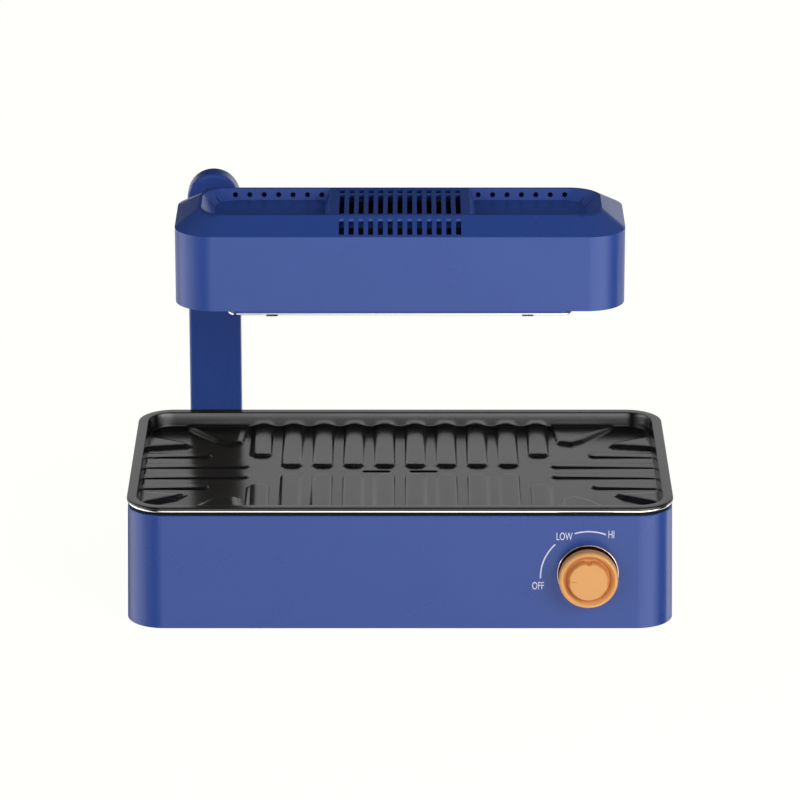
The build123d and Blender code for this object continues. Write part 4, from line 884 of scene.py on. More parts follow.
def polygon_inside(x: np.ndarray, y: np.ndarray, corners: Sequence[tuple]) -> np.ndarray:
    """Give how far inside a polygon each place lies.

    Args:
        x: Places along X.
        y: Places along Y.
        corners: The polygon's corners.

    Returns:
        The distance to the edge, below nought outside.
    """
    nearest = np.full(x.shape, np.inf)
    within = np.zeros(x.shape, bool)
    for (ax, ay), (bx, by) in zip(corners, corners[1:] + corners[:1]):
        run_x, run_y = bx - ax, by - ay
        share = np.clip(((x - ax) * run_x + (y - ay) * run_y) / (run_x**2 + run_y**2), 0, 1)
        nearest = np.minimum(nearest, np.hypot(x - ax - share * run_x, y - ay - share * run_y))
        # No place lies between the ends of a level side, so its slope is never used
        within ^= ((ay > y) != (by > y)) & (x < run_x * (y - ay) / (run_y or 1.0) + ax)
    return np.where(within, nearest, -nearest)


@dataclass
class DripTray:
    """The pressed tray with its turned, polished edge, in millimetres.

    Attributes:
        corner: The outer radius between floor and wall.
        hem: The width of the edge's flat top.
        bend: The bend between the wall and the edge.
    """

    outline: PlanOutline = field(default_factory=lambda: PlanOutline(step=6.0, arc_steps=8))
    floor_low: float = 74.0
    sheet: float = 0.6
    flange_low: float = 98.3
    edge_top: float = 100.3
    wall_inset: float = 4.8
    edge_inset: float = 0.4
    hem: float = 3.0
    corner: float = 6.0
    bend: float = 0.3
    sharp_degrees: float = 40.0

    def profile(self) -> list[tuple[float, float]]:
        """Draw the section from the underside of the floor round the edge to the top of the floor.

        Returns:
            Insets and heights.
        """
        roll = (self.edge_top - self.flange_low) / 2
        centre = (self.wall_inset + self.corner, self.floor_low + self.corner)
        outer, inner, bend = self.wall_inset, self.wall_inset + self.sheet, self.bend
        hem_end, hem_low = self.edge_inset + self.hem, self.flange_low + self.sheet
        rows = arc_profile(centre, self.corner, -90, -180, 6)
        rows += [(outer, self.flange_low - bend), (outer - bend, self.flange_low)]
        rows += arc_profile((self.edge_inset + roll, self.flange_low + roll), roll, -90, -270, 10)
        rows += [(hem_end, self.edge_top), (hem_end, hem_low)]
        rows += [(inner - bend, hem_low), (inner, hem_low - bend)]
        rows += arc_profile(centre, self.corner - self.sheet, 180, 270, 6)
        return rows

    def dress(self) -> None:
        """Build the tray as one closed mesh and let it stand for its CAD node."""
        loops = [self.outline.loop(inset, z) for inset, z in self.profile()]
        piece = mesh_piece("tray_sheet", *skin(loops), self.sharp_degrees)
        place(piece, "tray", POLISHED_STAINLESS_SHEET, ["drip_tray"])


# What Geometry Nodes set out: screws, rods and wires


class Recipe:
    """A Geometry Nodes tree with named inputs, run once on a carrier and settled into plain mesh."""

    def __init__(self, name: str) -> None:
        """Start an empty tree.

        Args:
            name: The tree's name.
        """
        self.name = name
        self.tree = bpy.data.node_groups.new(name, "GeometryNodeTree")
        for way in ("INPUT", "OUTPUT"):
            self.tree.interface.new_socket("Geometry", in_out=way, socket_type="NodeSocketGeometry")
        self.source = add_node(self.tree, "NodeGroupInput")
        self.sockets: dict[str, str] = {}

    def value(self, name: str, kind: str = "Float") -> bpy.types.NodeSocket:
        """Add a named input.

        Args:
            name: The input's name.
            kind: The input's socket type.

        Returns:
            The socket on the group's input node, to link from.
        """
        made = self.tree.interface.new_socket(name, in_out="INPUT", socket_type="NodeSocket" + kind)
        self.sockets[name] = made.identifier
        return self.source.outputs[name]

    def node(self, kind: str, inputs: Optional[dict] = None, **settings: object) -> bpy.types.Node:
        """Add a node to the tree and give it, with inputs and settings as for any other tree."""
        return add_node(self.tree, kind, inputs, **settings)

    def finish(self, shape: bpy.types.NodeSocket, material: bpy.types.Material) -> None:
        """End the tree in real geometry with its material.

        Args:
            shape: The socket with the geometry.
            material: The material.
        """
        real = self.node("GeometryNodeRealizeInstances", {0: shape})
        painted = self.node("GeometryNodeSetMaterial", {"Geometry": real.outputs[0], "Material": material})
        self.node("NodeGroupOutput", {0: painted.outputs[0]})

    def run(self, name: str, values: dict, carrier: Optional[bpy.types.Mesh] = None) -> bpy.types.Object:
        """Run the tree on a carrier mesh.

        Args:
            name: The object's name.
            values: The inputs' values by name.
            carrier: The mesh that the tree starts from, if it needs one.

        Returns:
            The result as a plain mesh object.
        """
        piece = new_object(name, carrier or bpy.data.meshes.new(name))
        modifier = piece.modifiers.new(self.name, "NODES")
        modifier.node_group = self.tree
        for key, value in values.items():
            modifier[self.sockets[key]] = value
        settle(piece)
        return piece


def islands(node: str) -> list[tuple[np.ndarray, np.ndarray]]:
    """Find the separate solids of a CAD node.

    Args:
        node: The CAD node.

    Returns:
        The low and high corners of each solid's box, in millimetres.
    """
    work = bmesh.new()
    work.from_mesh(frame["nodes"][node].data)
    bmesh.ops.remove_doubles(work, verts=work.verts, dist=MERGE)
    seen: set = set()
    boxes = []
    for start in work.verts:
        if start in seen:
            continue
        seen.add(start)
        queue, points = [start], []
        while queue:
            here = queue.pop()
            points.append(tuple(here.co))
            fresh = [edge.other_vert(here) for edge in here.link_edges]
            fresh = [vert for vert in fresh if vert not in seen]
            seen.update(fresh)
            queue += fresh
        spread = np.array(points) / MM
        boxes.append((spread.min(0), spread.max(0)))
    work.free()
    return boxes


def turned(profile: Sequence[tuple[float, float]], steps: int, name: str) -> bpy.types.Object:
    """Turn a profile about Z.

    Args:
        profile: Radii and heights, from one end to the other; both ends are closed flat.
        steps: The number of faces round the axis.
        name: The object's name.

    Returns:
        The turned object.
    """
    angles = np.linspace(0, 2 * math.pi, steps, endpoint=False)
    loops = [np.column_stack([r * np.cos(angles), r * np.sin(angles), np.full(steps, z)]) for r, z in profile]
    return mesh_piece(name, *skin(loops), SCREW_DEGREES)


@dataclass
class ScrewSet:
    """Pan-head screws with a cross recess, set out where the CAD node has its solids, in millimetres.

    Attributes:
        node: The CAD node.
        heading: The way that the heads face.
        recess_width: The cross recess's arm width.
        recess_share: The cross recess's reach, as a share of the head's radius.
        recess_taper: The width of the recess's floor, as a share of its mouth's.
        recess_span: The recess's floor and the cutter's top, as shares of the head's height.
        steps: The number of faces round a head.
        head_share: The head's height, as a share of its radius.
        shank_share: The shank's radius, as a share of the head's.
        tip: Shares of the shank's radius, and heights over its end, of the points of its tip.
        rim: Shares of the head's radius and height of the points under its dome.
        dome_angles: The angles of the dome's points from its top, in degrees.
        dome_low: The height of the dome's foot, as a share of the head's.
        seed: The seed of the screws' turns.
        widest_turn: The widest of these turns, in radians.
    """

    node: str
    heading: tuple[int, int, int]
    recess_width: float = 1.0
    recess_share: float = 0.58
    recess_taper: float = 0.55
    recess_span: tuple = (0.25, 1.4)
    steps: int = 24
    head_share: float = 0.62
    shank_share: float = 0.52
    tip: tuple = ((0.55, 0.0), (0.8, 0.5), (1.0, 1.2))
    rim: tuple = ((0.96, 0.0), (1.0, 0.12))
    dome_angles: tuple = (85, 70, 55, 40, 25, 12)
    dome_low: float = 0.45
    seed: int = 7
    widest_turn: float = 6.283

    def screw(self, radius: float, length: float) -> bpy.types.Object:
        """Make one screw whose head rests on z 0 and whose shank runs down.

        Args:
            radius: The head's radius.
            length: The whole length, head included.

        Returns:
            The screw's object.
        """
        height, shank = radius * self.head_share, radius * self.shank_share
        rows = [(shank * share, height - length + rise) for share, rise in self.tip] + [(shank, 0.0)]
        rows += [(radius * wide, height * high) for wide, high in self.rim]
        for angle in np.radians(self.dome_angles):
            high = self.dome_low + (1 - self.dome_low) * math.cos(angle)
            rows.append((radius * math.sin(angle), height * high))
        screw = turned(rows, self.steps, self.node + "_one")
        reach, half = radius * self.recess_share, self.recess_width / 2
        cross = [(half, reach), (half, half), (reach, half)]
        for _ in range(3):
            cross += [(y, -x) for x, y in cross[-3:]]
        rings = [
            np.array([(x * taper, y * taper, height * share) for x, y in cross])
            for taper, share in zip((self.recess_taper, 1.0), self.recess_span)
        ]
        cut_away(screw, mesh_piece(self.node + "_recess", *skin(rings)))
        return screw

    def dress(self) -> None:
        """Set the screws out and let them stand for their CAD node."""
        axis = int(np.argmax(np.abs(self.heading)))
        boxes = islands(self.node)
        size = boxes[0][1] - boxes[0][0]
        radius = np.delete(size, axis).max() / 2
        one = self.screw(radius, size[axis])
        seats = []
        for low, high in boxes:
            middle = (low + high) / 2
            end = (high if self.heading[axis] > 0 else low)[axis]
            middle[axis] = end - self.heading[axis] * radius * self.head_share
            seats.append(tuple(middle * MM))
        carrier = bpy.data.meshes.new(self.node + "_seats")
        carrier.from_pydata(seats, [], [])
        recipe = Recipe("screws_" + self.node)
        shape, heading, seed = (
            recipe.value(name, kind)
            for name, kind in (("Screw", "Object"), ("Heading", "Vector"), ("Seed", "Int"))
        )
        info = recipe.node("GeometryNodeObjectInfo", {"Object": shape}, transform_space="ORIGINAL")
        facing_out = recipe.node("FunctionNodeAlignRotationToVector", {"Vector": heading}, axis="Z")
        # Inputs 2 and 3 of a random number are its least and its most
        spin = recipe.node(
            "FunctionNodeRandomValue", {2: 0.0, 3: self.widest_turn, "Seed": seed}, data_type="FLOAT"
        )
        twist = recipe.node("ShaderNodeCombineXYZ", {"Z": spin.outputs[1]})
        both = recipe.node(
            "FunctionNodeRotateRotation",
            {"Rotation": facing_out.outputs[0], "Rotate By": twist.outputs[0]},
            rotation_space="LOCAL",
        )
        laid = recipe.node(
            "GeometryNodeInstanceOnPoints",
            {
                "Points": recipe.source.outputs[0], "Instance": info.outputs["Geometry"],
                "Rotation": both.outputs[0],
            },
        )
        recipe.finish(laid.outputs[0], ZINC_PLATED_STEEL.material())
        values = {"Screw": one, "Heading": self.heading, "Seed": self.seed}
        piece = recipe.run(self.node + "_set", values, carrier)
        bpy.data.objects.remove(one)
        shade(piece, SCREW_DEGREES)
        place(piece, body_of(self.node), ZINC_PLATED_STEEL, [self.node], slot_of(self.node))


@dataclass
class Guard:
    """The heater's wire guard: a frame wire with rods welded across it, in millimetres.

    Attributes:
        frame_wire: The frame wire's radius.
        rod_wire: The rods' radius.
        corner_steps: The number of points in a corner of the frame.
        frame_faces: The number of faces round the frame wire.
        rod_faces: The number of faces round a rod.
    """

    length: float = 268.2
    depth: float = 100.0
    corner: float = 6.0
    height: float = 239.5
    frame_wire: float = 1.2
    rod_wire: float = 0.9
    rods: int = 19
    pitch: float = 13.4
    corner_steps: int = 6
    frame_faces: int = 12
    rod_faces: int = 10
    sharp_degrees: float = 50.0

    def values(self) -> dict:
        """Work out the tree's inputs, in metres.

        Returns:
            The values by name.
        """
        half, first = self.depth / 2, -(self.rods - 1) * self.pitch / 2
        return {
            "Length": self.length * MM, "Depth": self.depth * MM, "Corner": self.corner * MM,
            "Frame wire": self.frame_wire * MM, "Rod wire": self.rod_wire * MM, "Rods": self.rods,
            "Rod start": (0.0, -half * MM, 0.0), "Rod end": (0.0, half * MM, 0.0),
            "First rod": (first * MM, 0.0, 0.0), "Step": (self.pitch * MM, 0.0, 0.0),
            "Lift": (0.0, 0.0, self.height * MM),
        }

    def dress(self) -> None:
        """Build the guard and let it stand for its CAD node."""
        recipe = Recipe("wire_guard")
        kinds = {float: "Float", int: "Int", tuple: "Vector"}
        given = {name: recipe.value(name, kinds[type(value)]) for name, value in self.values().items()}
        outline = recipe.node(
            "GeometryNodeCurvePrimitiveQuadrilateral", {"Width": given["Length"], "Height": given["Depth"]}
        )
        bent = recipe.node(
            "GeometryNodeFilletCurve",
            {"Curve": outline.outputs[0], "Count": self.corner_steps, "Radius": given["Corner"]},
            mode="POLY",
        )
        rod = recipe.node(
            "GeometryNodeCurvePrimitiveLine", {"Start": given["Rod start"], "End": given["Rod end"]}
        )
        frame_round, rod_round = (
            recipe.node("GeometryNodeCurvePrimitiveCircle", {"Resolution": faces, "Radius": given[name]})
            for faces, name in ((self.frame_faces, "Frame wire"), (self.rod_faces, "Rod wire"))
        )
        ring_wire, rod_wire = (
            recipe.node(
                "GeometryNodeCurveToMesh",
                {"Curve": curve.outputs[0], "Profile Curve": profile.outputs[0], "Fill Caps": capped},
            )
            for curve, profile, capped in ((bent, frame_round, False), (rod, rod_round, True))
        )
        row = recipe.node(
            "GeometryNodeMeshLine",
            {"Count": given["Rods"], "Start Location": given["First rod"], "Offset": given["Step"]},
            mode="OFFSET",
        )
        rods = recipe.node(
            "GeometryNodeInstanceOnPoints", {"Points": row.outputs[0], "Instance": rod_wire.outputs[0]}
        )
        both = recipe.node("GeometryNodeJoinGeometry", {0: ring_wire.outputs[0]})
        recipe.tree.links.new(rods.outputs[0], both.inputs[0])
        moved = recipe.node(
            "GeometryNodeTransform", {"Geometry": both.outputs[0], "Translation": given["Lift"]}
        )
        recipe.finish(moved.outputs[0], POLISHED_WIRE.material())
        piece = recipe.run("guard_wires", self.values())
        shade(piece, self.sharp_degrees)
        place(piece, "head", POLISHED_WIRE, ["guard_grid"])


# Sub-assemblies


@dataclass
class Assembly:
    """A sub-assembly whose CAD nodes are right in shape: some get broken edges, the rest only their finish.

    Attributes:
        refined: The nodes to copy, with the width of the broken edge in millimetres.
        kept: The nodes that stay as they are.
        screws: The sets of screws.
    """

    refined: dict[str, float] = field(default_factory=dict)
    kept: Sequence[str] = ()
    screws: Sequence[ScrewSet] = ()

    def dress(self) -> None:
        """Refine, finish and set out everything in the sub-assembly."""
        for node, edge in self.refined.items():
            finish = FINISHES[slot_of(node)]
            place(refined_copy(node, edge), body_of(node), finish, [node])
        for node in self.kept:
            slots = frame["nodes"][node].data.materials
            made = FINISHES[slot_of(node)].material()
            for at in range(len(slots)):
                slots[at] = made
            log.info("%s keeps its CAD shape on %s", node, body_of(node))
        for row in self.screws:
            row.dress()


FINISHES = {
    finish.slot: finish
    for finish in (
        SATIN_BLUE_ABS, PTFE_COATED_CASTING, POLISHED_STAINLESS_SHEET, BLACK_SILICONE, COPPER_PLATED_ABS,
        BLACK_PBT, ZINC_PLATED_STEEL, TURNED_BRASS, POLISHED_WIRE, BRIGHT_ALUMINIUM, FUSED_QUARTZ,
        PRESSED_STEATITE, CARBON_STRIP,
    )
}
UP, DOWN, REAR, FRONT = (0, 0, 1), (0, 0, -1), (0, 1, 0), (0, -1, 0)


@dataclass
class Base(Assembly):
    """The base: shell, seat ring, feet, plates, inlet and what is inside."""

    refined: dict[str, float] = field(
        default_factory=lambda: {
            "base_shell": 0.4, "seat_ring": 0.25, "power_inlet": 0.35,
            **{f"foot_{number}": 0.4 for number in range(1, 5)},
            "base_plate": 0.2, "partition_plate": 0.2, "inlet_pins": 0.3,
        }
    )
    kept: Sequence[str] = ("rotary_switch", "switch_nut", "terminal_block", "arm_bracket")
    screws: Sequence[ScrewSet] = (
        ScrewSet("base_plate_screws", DOWN),
        ScrewSet("partition_screws", UP),
        ScrewSet("inlet_screws", REAR),
        *(ScrewSet(f"arm_bolt_{number}", FRONT, recess_width=1.3) for number in range(1, 5)),
    )


@dataclass
class Arm(Assembly):
    """The flat arm behind the base, with its cover, hinge and stop pin."""

    refined: dict[str, float] = field(default_factory=lambda: {"arm_front_shell": 0.2, "arm_rear_cover": 0.4})
    kept: Sequence[str] = ("arm_core", "hinge_bush", "stop_pin")
    screws: Sequence[ScrewSet] = (ScrewSet("arm_cover_screw_1", REAR), ScrewSet("arm_cover_screw_2", REAR))


@dataclass
class Knob(Assembly):
    """The turning knob, its face disc and the bezel ring behind it, in mm, with depths forward from y = 0.

    Attributes:
        dish_slope: Radii and depths of the dish's slope inside the skirt's round lip.
        grip_foot: How far outside the crease, how far over the dish and how fluted the grip's foot is.
        grip_top: How far outside the grip's radius and how far under the front the points of its edge are.
        flute_shares: The depths of the flutes at right, top, left and bottom, as shares of the full depth.
        pointer: The pointer line's two ends along X, its width and its depth.
        pointer_reach: How far the pointer's cutter stands out of the face.
        disc_edge: The width of the disc's broken edge, and its gap over the grip's floor.
        spread_edge: How far inside and under the crease the grip's widest edge starts.
        bezel_lip: How far inside and under the bezel's rim its polished top ends, and how far inside it the
            sunk ring's wall is.
        bezel_heel: How far inside and over its back the bezel's hind edge is broken.
    """

    kept: Sequence[str] = ("switch_shaft",)
    bezel_back: float = 120.75
    bezel_front: float = 122.75
    bezel_radius: float = 24.2
    bezel_hole: float = 9.0
    bezel_round: float = 0.6
    bezel_sunk: float = 1.2
    bezel_lip: tuple = (0.9, 0.12, 1.0)
    bezel_heel: tuple = (0.1, 0.2)
    back: float = 123.05
    neck_front: float = 128.6
    neck_radius: float = 21.0
    neck_chamfer: float = 0.4
    heel_round: float = 1.2
    skirt_front: float = 138.05
    skirt_radius: float = 23.2
    skirt_round: float = 2.2
    dish_slope: tuple = ((20.5, 137.91), (19.2, 137.0), (17.8, 135.5))
    dish_floor: float = 133.6
    front: float = 141.05
    grip_radius: float = 15.4
    grip_spread: float = 0.85
    grip_spread_end: float = 137.3
    grip_foot: tuple = ((0.6, 0.05, 0.4), (-0.1, 0.2, 1))
    grip_top: tuple = ((0.15, 0.7), (-0.02, 0.12), (-0.12, 0.0))
    disc_sheet: float = 1.2
    disc_inset: float = 0.3
    seam: float = 0.12
    bore_radius: float = 3.1
    bore_end: float = 136.9
    hollow_radius: float = 12.0
    hollow_end: float = 129.05
    flute_radius: float = 4.0
    flute_depth: float = 1.6
    flute_shares: tuple = (0.35, 1.0, 0.35, 0.0)
    pointer: tuple = (-13.6, -9.4, 0.55, 0.5)
    pointer_reach: float = 1.0
    disc_edge: tuple = (0.12, 0.02)
    spread_edge: tuple = (0.1, 0.2)
    steps: int = 256
    sharp_degrees: float = 40.0

    def flute_cut(self, angles: np.ndarray) -> np.ndarray:
        """Give how deep the flutes cut into the grip at each angle.

        Args:
            angles: Angles round the axis, in radians.

        Returns:
            The depth below the grip's radius, nought between the flutes.
        """
        apart = 2 * math.pi / len(self.flute_shares)
        off = (angles + apart / 2) % apart - apart / 2
        share = np.take(self.flute_shares, np.round(angles / apart).astype(int) % len(self.flute_shares))
        centre = self.grip_radius + self.flute_radius - self.flute_depth
        under = np.maximum(self.flute_radius**2 - (centre * np.sin(off)) ** 2, 0)
        edge = centre * np.cos(off) - np.sqrt(under)
        return np.where(under > 0, np.clip(self.grip_radius - edge, 0, self.flute_depth), 0) * share

    def turn(self, name: str, profile: Sequence[tuple], ends: Ends = Ends.CAPPED) -> bpy.types.Object:
        """Turn a profile about the knob's axis.

        Args:
            name: The object's name.
            profile: Radii, depths and the share of the flutes' cut at each, which is nought if left out.
            ends: Whether both ends are closed flat or the profile closes on itself.

        Returns:
            The turned object.
        """
        angles = np.linspace(0, 2 * math.pi, self.steps, endpoint=False)
        cut = self.flute_cut(angles)
        loops = []
        for radius, depth, *share in profile:
            out = radius - (share[0] if share else 0) * cut
            x, z = KNOB.x + out * np.cos(angles), KNOB.z + out * np.sin(angles)
            loops.append(np.column_stack([x, np.full(self.steps, -depth), z]))
        return mesh_piece(name, *skin(loops, ends), self.sharp_degrees)

    def body(self) -> bpy.types.Object:
        """Make the skirt and the fluted grip.

        Returns:
            The knob's object.
        """
        inner = self.grip_radius - self.disc_inset + self.seam
        floor = self.front - self.disc_sheet
        crease = self.grip_radius + self.grip_spread
        heel, lip, cut = self.heel_round, self.skirt_round, self.neck_chamfer
        inside, under = self.spread_edge
        rows: list[tuple] = [(self.bore_radius, self.bore_end), (self.bore_radius, self.hollow_end)]
        rows += [(self.hollow_radius, self.hollow_end), (self.hollow_radius, self.back)]
        rows += [(self.neck_radius - cut, self.back), (self.neck_radius, self.back + cut)]
        rows += [(self.neck_radius, self.neck_front)]
        rows += arc_profile((self.skirt_radius - heel, self.neck_front + heel), heel, -80, 0, 5)
        rows += arc_profile((self.skirt_radius - lip, self.skirt_front - lip), lip, 0, 90, 9)
        rows += self.dish_slope
        rows += [(crease + out, self.dish_floor + over, share) for out, over, share in self.grip_foot]
        rows += [(crease - inside, self.grip_spread_end - under, 1), (crease, self.grip_spread_end, 1)]
        rows += [(self.grip_radius + out, self.front - below, 1) for out, below in self.grip_top]
        rows += [(inner, self.front, 1), (inner, floor, 1)]
        return self.turn("knob_body", rows)

    def disc(self) -> bpy.types.Object:
        """Make the face disc, with its engraved pointer line.

        Returns:
            The disc's object.
        """
        radius = self.grip_radius - self.disc_inset
        edge, gap = self.disc_edge
        low, high = self.front - self.disc_sheet + gap, self.front
        piece = self.turn("knob_disc", [(radius, low, 1), (radius, high - edge, 1), (radius - edge, high, 1)])
        near, far, width, depth = self.pointer
        corners = ((near, -width / 2), (far, -width / 2), (far, width / 2), (near, width / 2))
        rings = [
            np.array([(KNOB.x + x, -y, KNOB.z + z) for x, z in corners])
            for y in (high - depth, high + self.pointer_reach)
        ]
        cut_away(piece, mesh_piece("pointer_cutter", *skin(rings)))
        return piece

    def bezel(self) -> bpy.types.Object:
        """Make the bezel: a polished rounded rim round a sunk ring.

        Returns:
            The bezel's object.
        """
        rim, turn, low = self.bezel_radius, self.bezel_round, self.bezel_front - self.bezel_sunk
        inside, over = self.bezel_heel
        top, under, wall = self.bezel_lip
        rows = [(self.bezel_hole, self.bezel_back), (rim - inside, self.bezel_back)]
        rows += [(rim, self.bezel_back + over)]
        rows += arc_profile((rim - turn, self.bezel_front - turn), turn, 0, 90, 5)
        rows += [(rim - top, self.bezel_front - under), (rim - wall, low), (self.bezel_hole, low)]
        return self.turn("bezel_ring", rows, Ends.JOINED)

    def dress(self) -> None:
        """Build the knob's pieces and finish the shaft."""
        on_knob = body_of("control_knob")
        place(self.body(), on_knob, COPPER_PLATED_ABS, ["control_knob"])
        place(self.disc(), on_knob, COPPER_PLATED_ABS, ["knob_cap"])
        place(self.bezel(), "base", POLISHED_BEZEL_WITH_PAINTED_SHADE, ["knob_bezel"])
        super().dress()


@dataclass
class Head(Assembly):
    """The heater head with its vents, reflector, tubes, fan and hinge parts."""

    refined: dict[str, float] = field(
        default_factory=lambda: {
            "head_shell": 0.35, "head_frame": 0.35, "guard_clips": 0.15, "reflector": 0.1, "hinge_neck": 0.3,
            "tube_holder_left": 0.4, "tube_holder_right": 0.4, "fan_frame": 0.3, "thermal_limiter": 0.2,
            "fan_impeller": 0.1, "heat_shield": 0.1,
        }
    )
    kept: Sequence[str] = (
        *(f"heater_tube_{number}" for number in range(1, 4)),
        "emitter_strips", "head_bracket", "hinge_shaft", "stop_disc", "hinge_nut",
    )
    screws: Sequence[ScrewSet] = (
        ScrewSet("frame_screws", DOWN),
        ScrewSet("guard_screws", DOWN, recess_width=0.7),
        ScrewSet("shield_screws", DOWN),
        ScrewSet("fan_screws", UP, recess_width=0.8),
        ScrewSet("bracket_screws", FRONT),
    )


@dataclass
class Dial:
    """The printed heat marks round the knob: three words and two arcs, in millimetres.

    Attributes:
        print_height: How far the ink stands proud.
        squeeze: The width of the letters, as a share of the font's own.
        boldness: How far the letters' outlines are moved out, as a share of their height.
        cap_share: The height of a capital, as a share of the font's size.
        front_low: The height of the foot of the base's sloping front.
        front_run: The height of the slope.
        front_half_depth: How far in front of the middle the top of the slope is.
        flare: How much further out its foot is.
        words: The words and their middles along X and Z.
        arcs: The angles between which the arcs run, in degrees.
    """

    centre_x: float = 147.7
    centre_z: float = 45.1
    radius: float = 37.5
    stroke: float = 1.1
    print_height: float = 0.04
    letter_height: float = 6.2
    squeeze: float = 0.62
    boldness: float = 0.008
    cap_share: float = 0.7
    front_low: float = 2.0
    front_run: float = 93.5
    front_half_depth: float = 119.25
    flare: float = 1.5
    words: tuple = (("OFF", 108.4, 37.7), ("LOW", 128.6, 78.7), ("HI", 165.4, 80.3))
    arcs: tuple = ((182.0, 134.0), (107.0, 69.0))
    arc_points: int = 41
    sharp_degrees: float = 20.0

    def on_front(self, x: np.ndarray, z: np.ndarray, proud: float) -> np.ndarray:
        """Give points on the base's sloping front at x and z, standing proud of it by some millimetres."""
        y = -(self.front_half_depth + self.flare * (1 - (z - self.front_low) / self.front_run)) - proud
        return np.column_stack([x, y, z])

    def word(self, text: str, x: float, z: float) -> bpy.types.Object:
        """Make one printed word.

        Args:
            text: The word.
            x: The middle of the word along X.
            z: The middle of the word along Z.

        Returns:
            The word's object.
        """
        curve = bpy.data.curves.new("word_" + text, "FONT")
        curve.body = text
        curve.size = self.letter_height / self.cap_share
        curve.align_x, curve.align_y = "CENTER", "CENTER"
        curve.extrude, curve.offset = self.print_height, self.letter_height * self.boldness
        curve.resolution_u = 4
        drawn = new_object("word_" + text, curve)
        view = bpy.context.evaluated_depsgraph_get()
        mesh = bpy.data.meshes.new_from_object(drawn.evaluated_get(view))
        bpy.data.objects.remove(drawn)
        flat = np.array([tuple(vertex.co) for vertex in mesh.vertices])
        flat[:, 1] -= (flat[:, 1].max() + flat[:, 1].min()) / 2
        points = self.on_front(x + flat[:, 0] * self.squeeze, z + flat[:, 1], 0.0)
        points[:, 1] -= flat[:, 2]
        faces = [tuple(polygon.vertices) for polygon in mesh.polygons]
        bpy.data.meshes.remove(mesh)
        return mesh_piece("print_" + text, points, faces, self.sharp_degrees)

    def arc(self, start: float, end: float, number: int) -> bpy.types.Object:
        """Make one printed arc round the knob.

        Args:
            start: The angle that it starts at, in degrees.
            end: The angle that it ends at.
            number: The arc's number.

        Returns:
            The arc's object.
        """
        angles = np.radians(np.linspace(start, end, self.arc_points))
        rows = []
        for reach, proud in ((-0.5, -0.5), (0.5, -0.5), (0.5, 1.0), (-0.5, 1.0)):
            out = self.radius + reach * self.stroke
            x, z = self.centre_x + out * np.cos(angles), self.centre_z + out * np.sin(angles)
            rows.append(self.on_front(x, z, proud * self.print_height))
        return mesh_piece(f"print_arc_{number}", *skin(np.stack(rows, 1)), self.sharp_degrees)

    def dress(self) -> None:
        """Print the words and arcs on the base."""
        for text, x, z in self.words:
            place(self.word(text, x, z), "base", PAD_PRINT_INK)
        for number, (start, end) in enumerate(self.arcs, 1):
            place(self.arc(start, end, number), "base", PAD_PRINT_INK)


# Camera, lights and surroundings


def facing(place: Sequence[float], aim: Sequence[float], axis: str = "-Z") -> Quaternion:
    """Give the turn that points an object's axis from its place at what it faces."""
    return (Vector(aim) - Vector(place)).to_track_quat(axis, "Y")


def flat_board(name: str, half_x: float, half_y: float, move: Optional[Matrix] = None) -> bpy.types.Object:
    """Make a flat board, in metres.

    Args:
        name: The object's name.
        half_x: Half its size along X.
        half_y: Half its size along Y.
        move: The move of its corners from the origin, if there is one.

    Returns:
        The object.
    """
    mesh = bpy.data.meshes.new(name)
    corners = [(-half_x, -half_y, 0), (half_x, -half_y, 0), (half_x, half_y, 0), (-half_x, half_y, 0)]
    mesh.from_pydata([tuple(move @ Vector(c)) if move else c for c in corners], [], [(0, 1, 2, 3)])
    return new_object(name, mesh)


@dataclass
class Lamp:
    """A soft rectangular lamp that faces a point and isn't mirrored, in metres and watts."""

    name: str
    place: tuple[float, float, float]
    size: tuple[float, float]
    power: float
    aim: tuple[float, float, float] = (0.0, 0.0, 0.12)

    def build(self) -> None:
        """Hang the lamp."""
        light = bpy.data.lights.new(self.name, "AREA")
        light.shape = "RECTANGLE"
        light.size, light.size_y = self.size
        light.energy = self.power
        lamp = new_object(self.name, light)
        lamp.location = self.place
        lamp.rotation_euler = facing(self.place, self.aim).to_euler()
        lamp.visible_camera = lamp.visible_glossy = False


@dataclass
class Flag:
    """A matt board that only reflections show, in metres.

    Attributes:
        grey: The board's colour.
        strength: How strongly it shines.
    """

    name: str
    place: tuple[float, float, float]
    size: tuple[float, float]
    grey: str
    aim: tuple[float, float, float] = (0.0, 0.0, 0.12)
    strength: float = 1.0

    def build(self) -> None:
        """Set the board up."""
        move = Matrix.Translation(self.place) @ facing(self.place, self.aim, "Z").to_matrix().to_4x4()
        board = flat_board(self.name, self.size[0] / 2, self.size[1] / 2, move)
        paint = bpy.data.materials.new(self.name + "_board")
        tree = fresh_tree(paint)
        glow = add_node(tree, "ShaderNodeEmission", {"Color": linear(self.grey), "Strength": self.strength})
        add_node(tree, "ShaderNodeOutputMaterial", {"Surface": glow.outputs[0]})
        board.data.materials.append(paint)
        board.visible_camera = board.visible_shadow = board.visible_diffuse = False


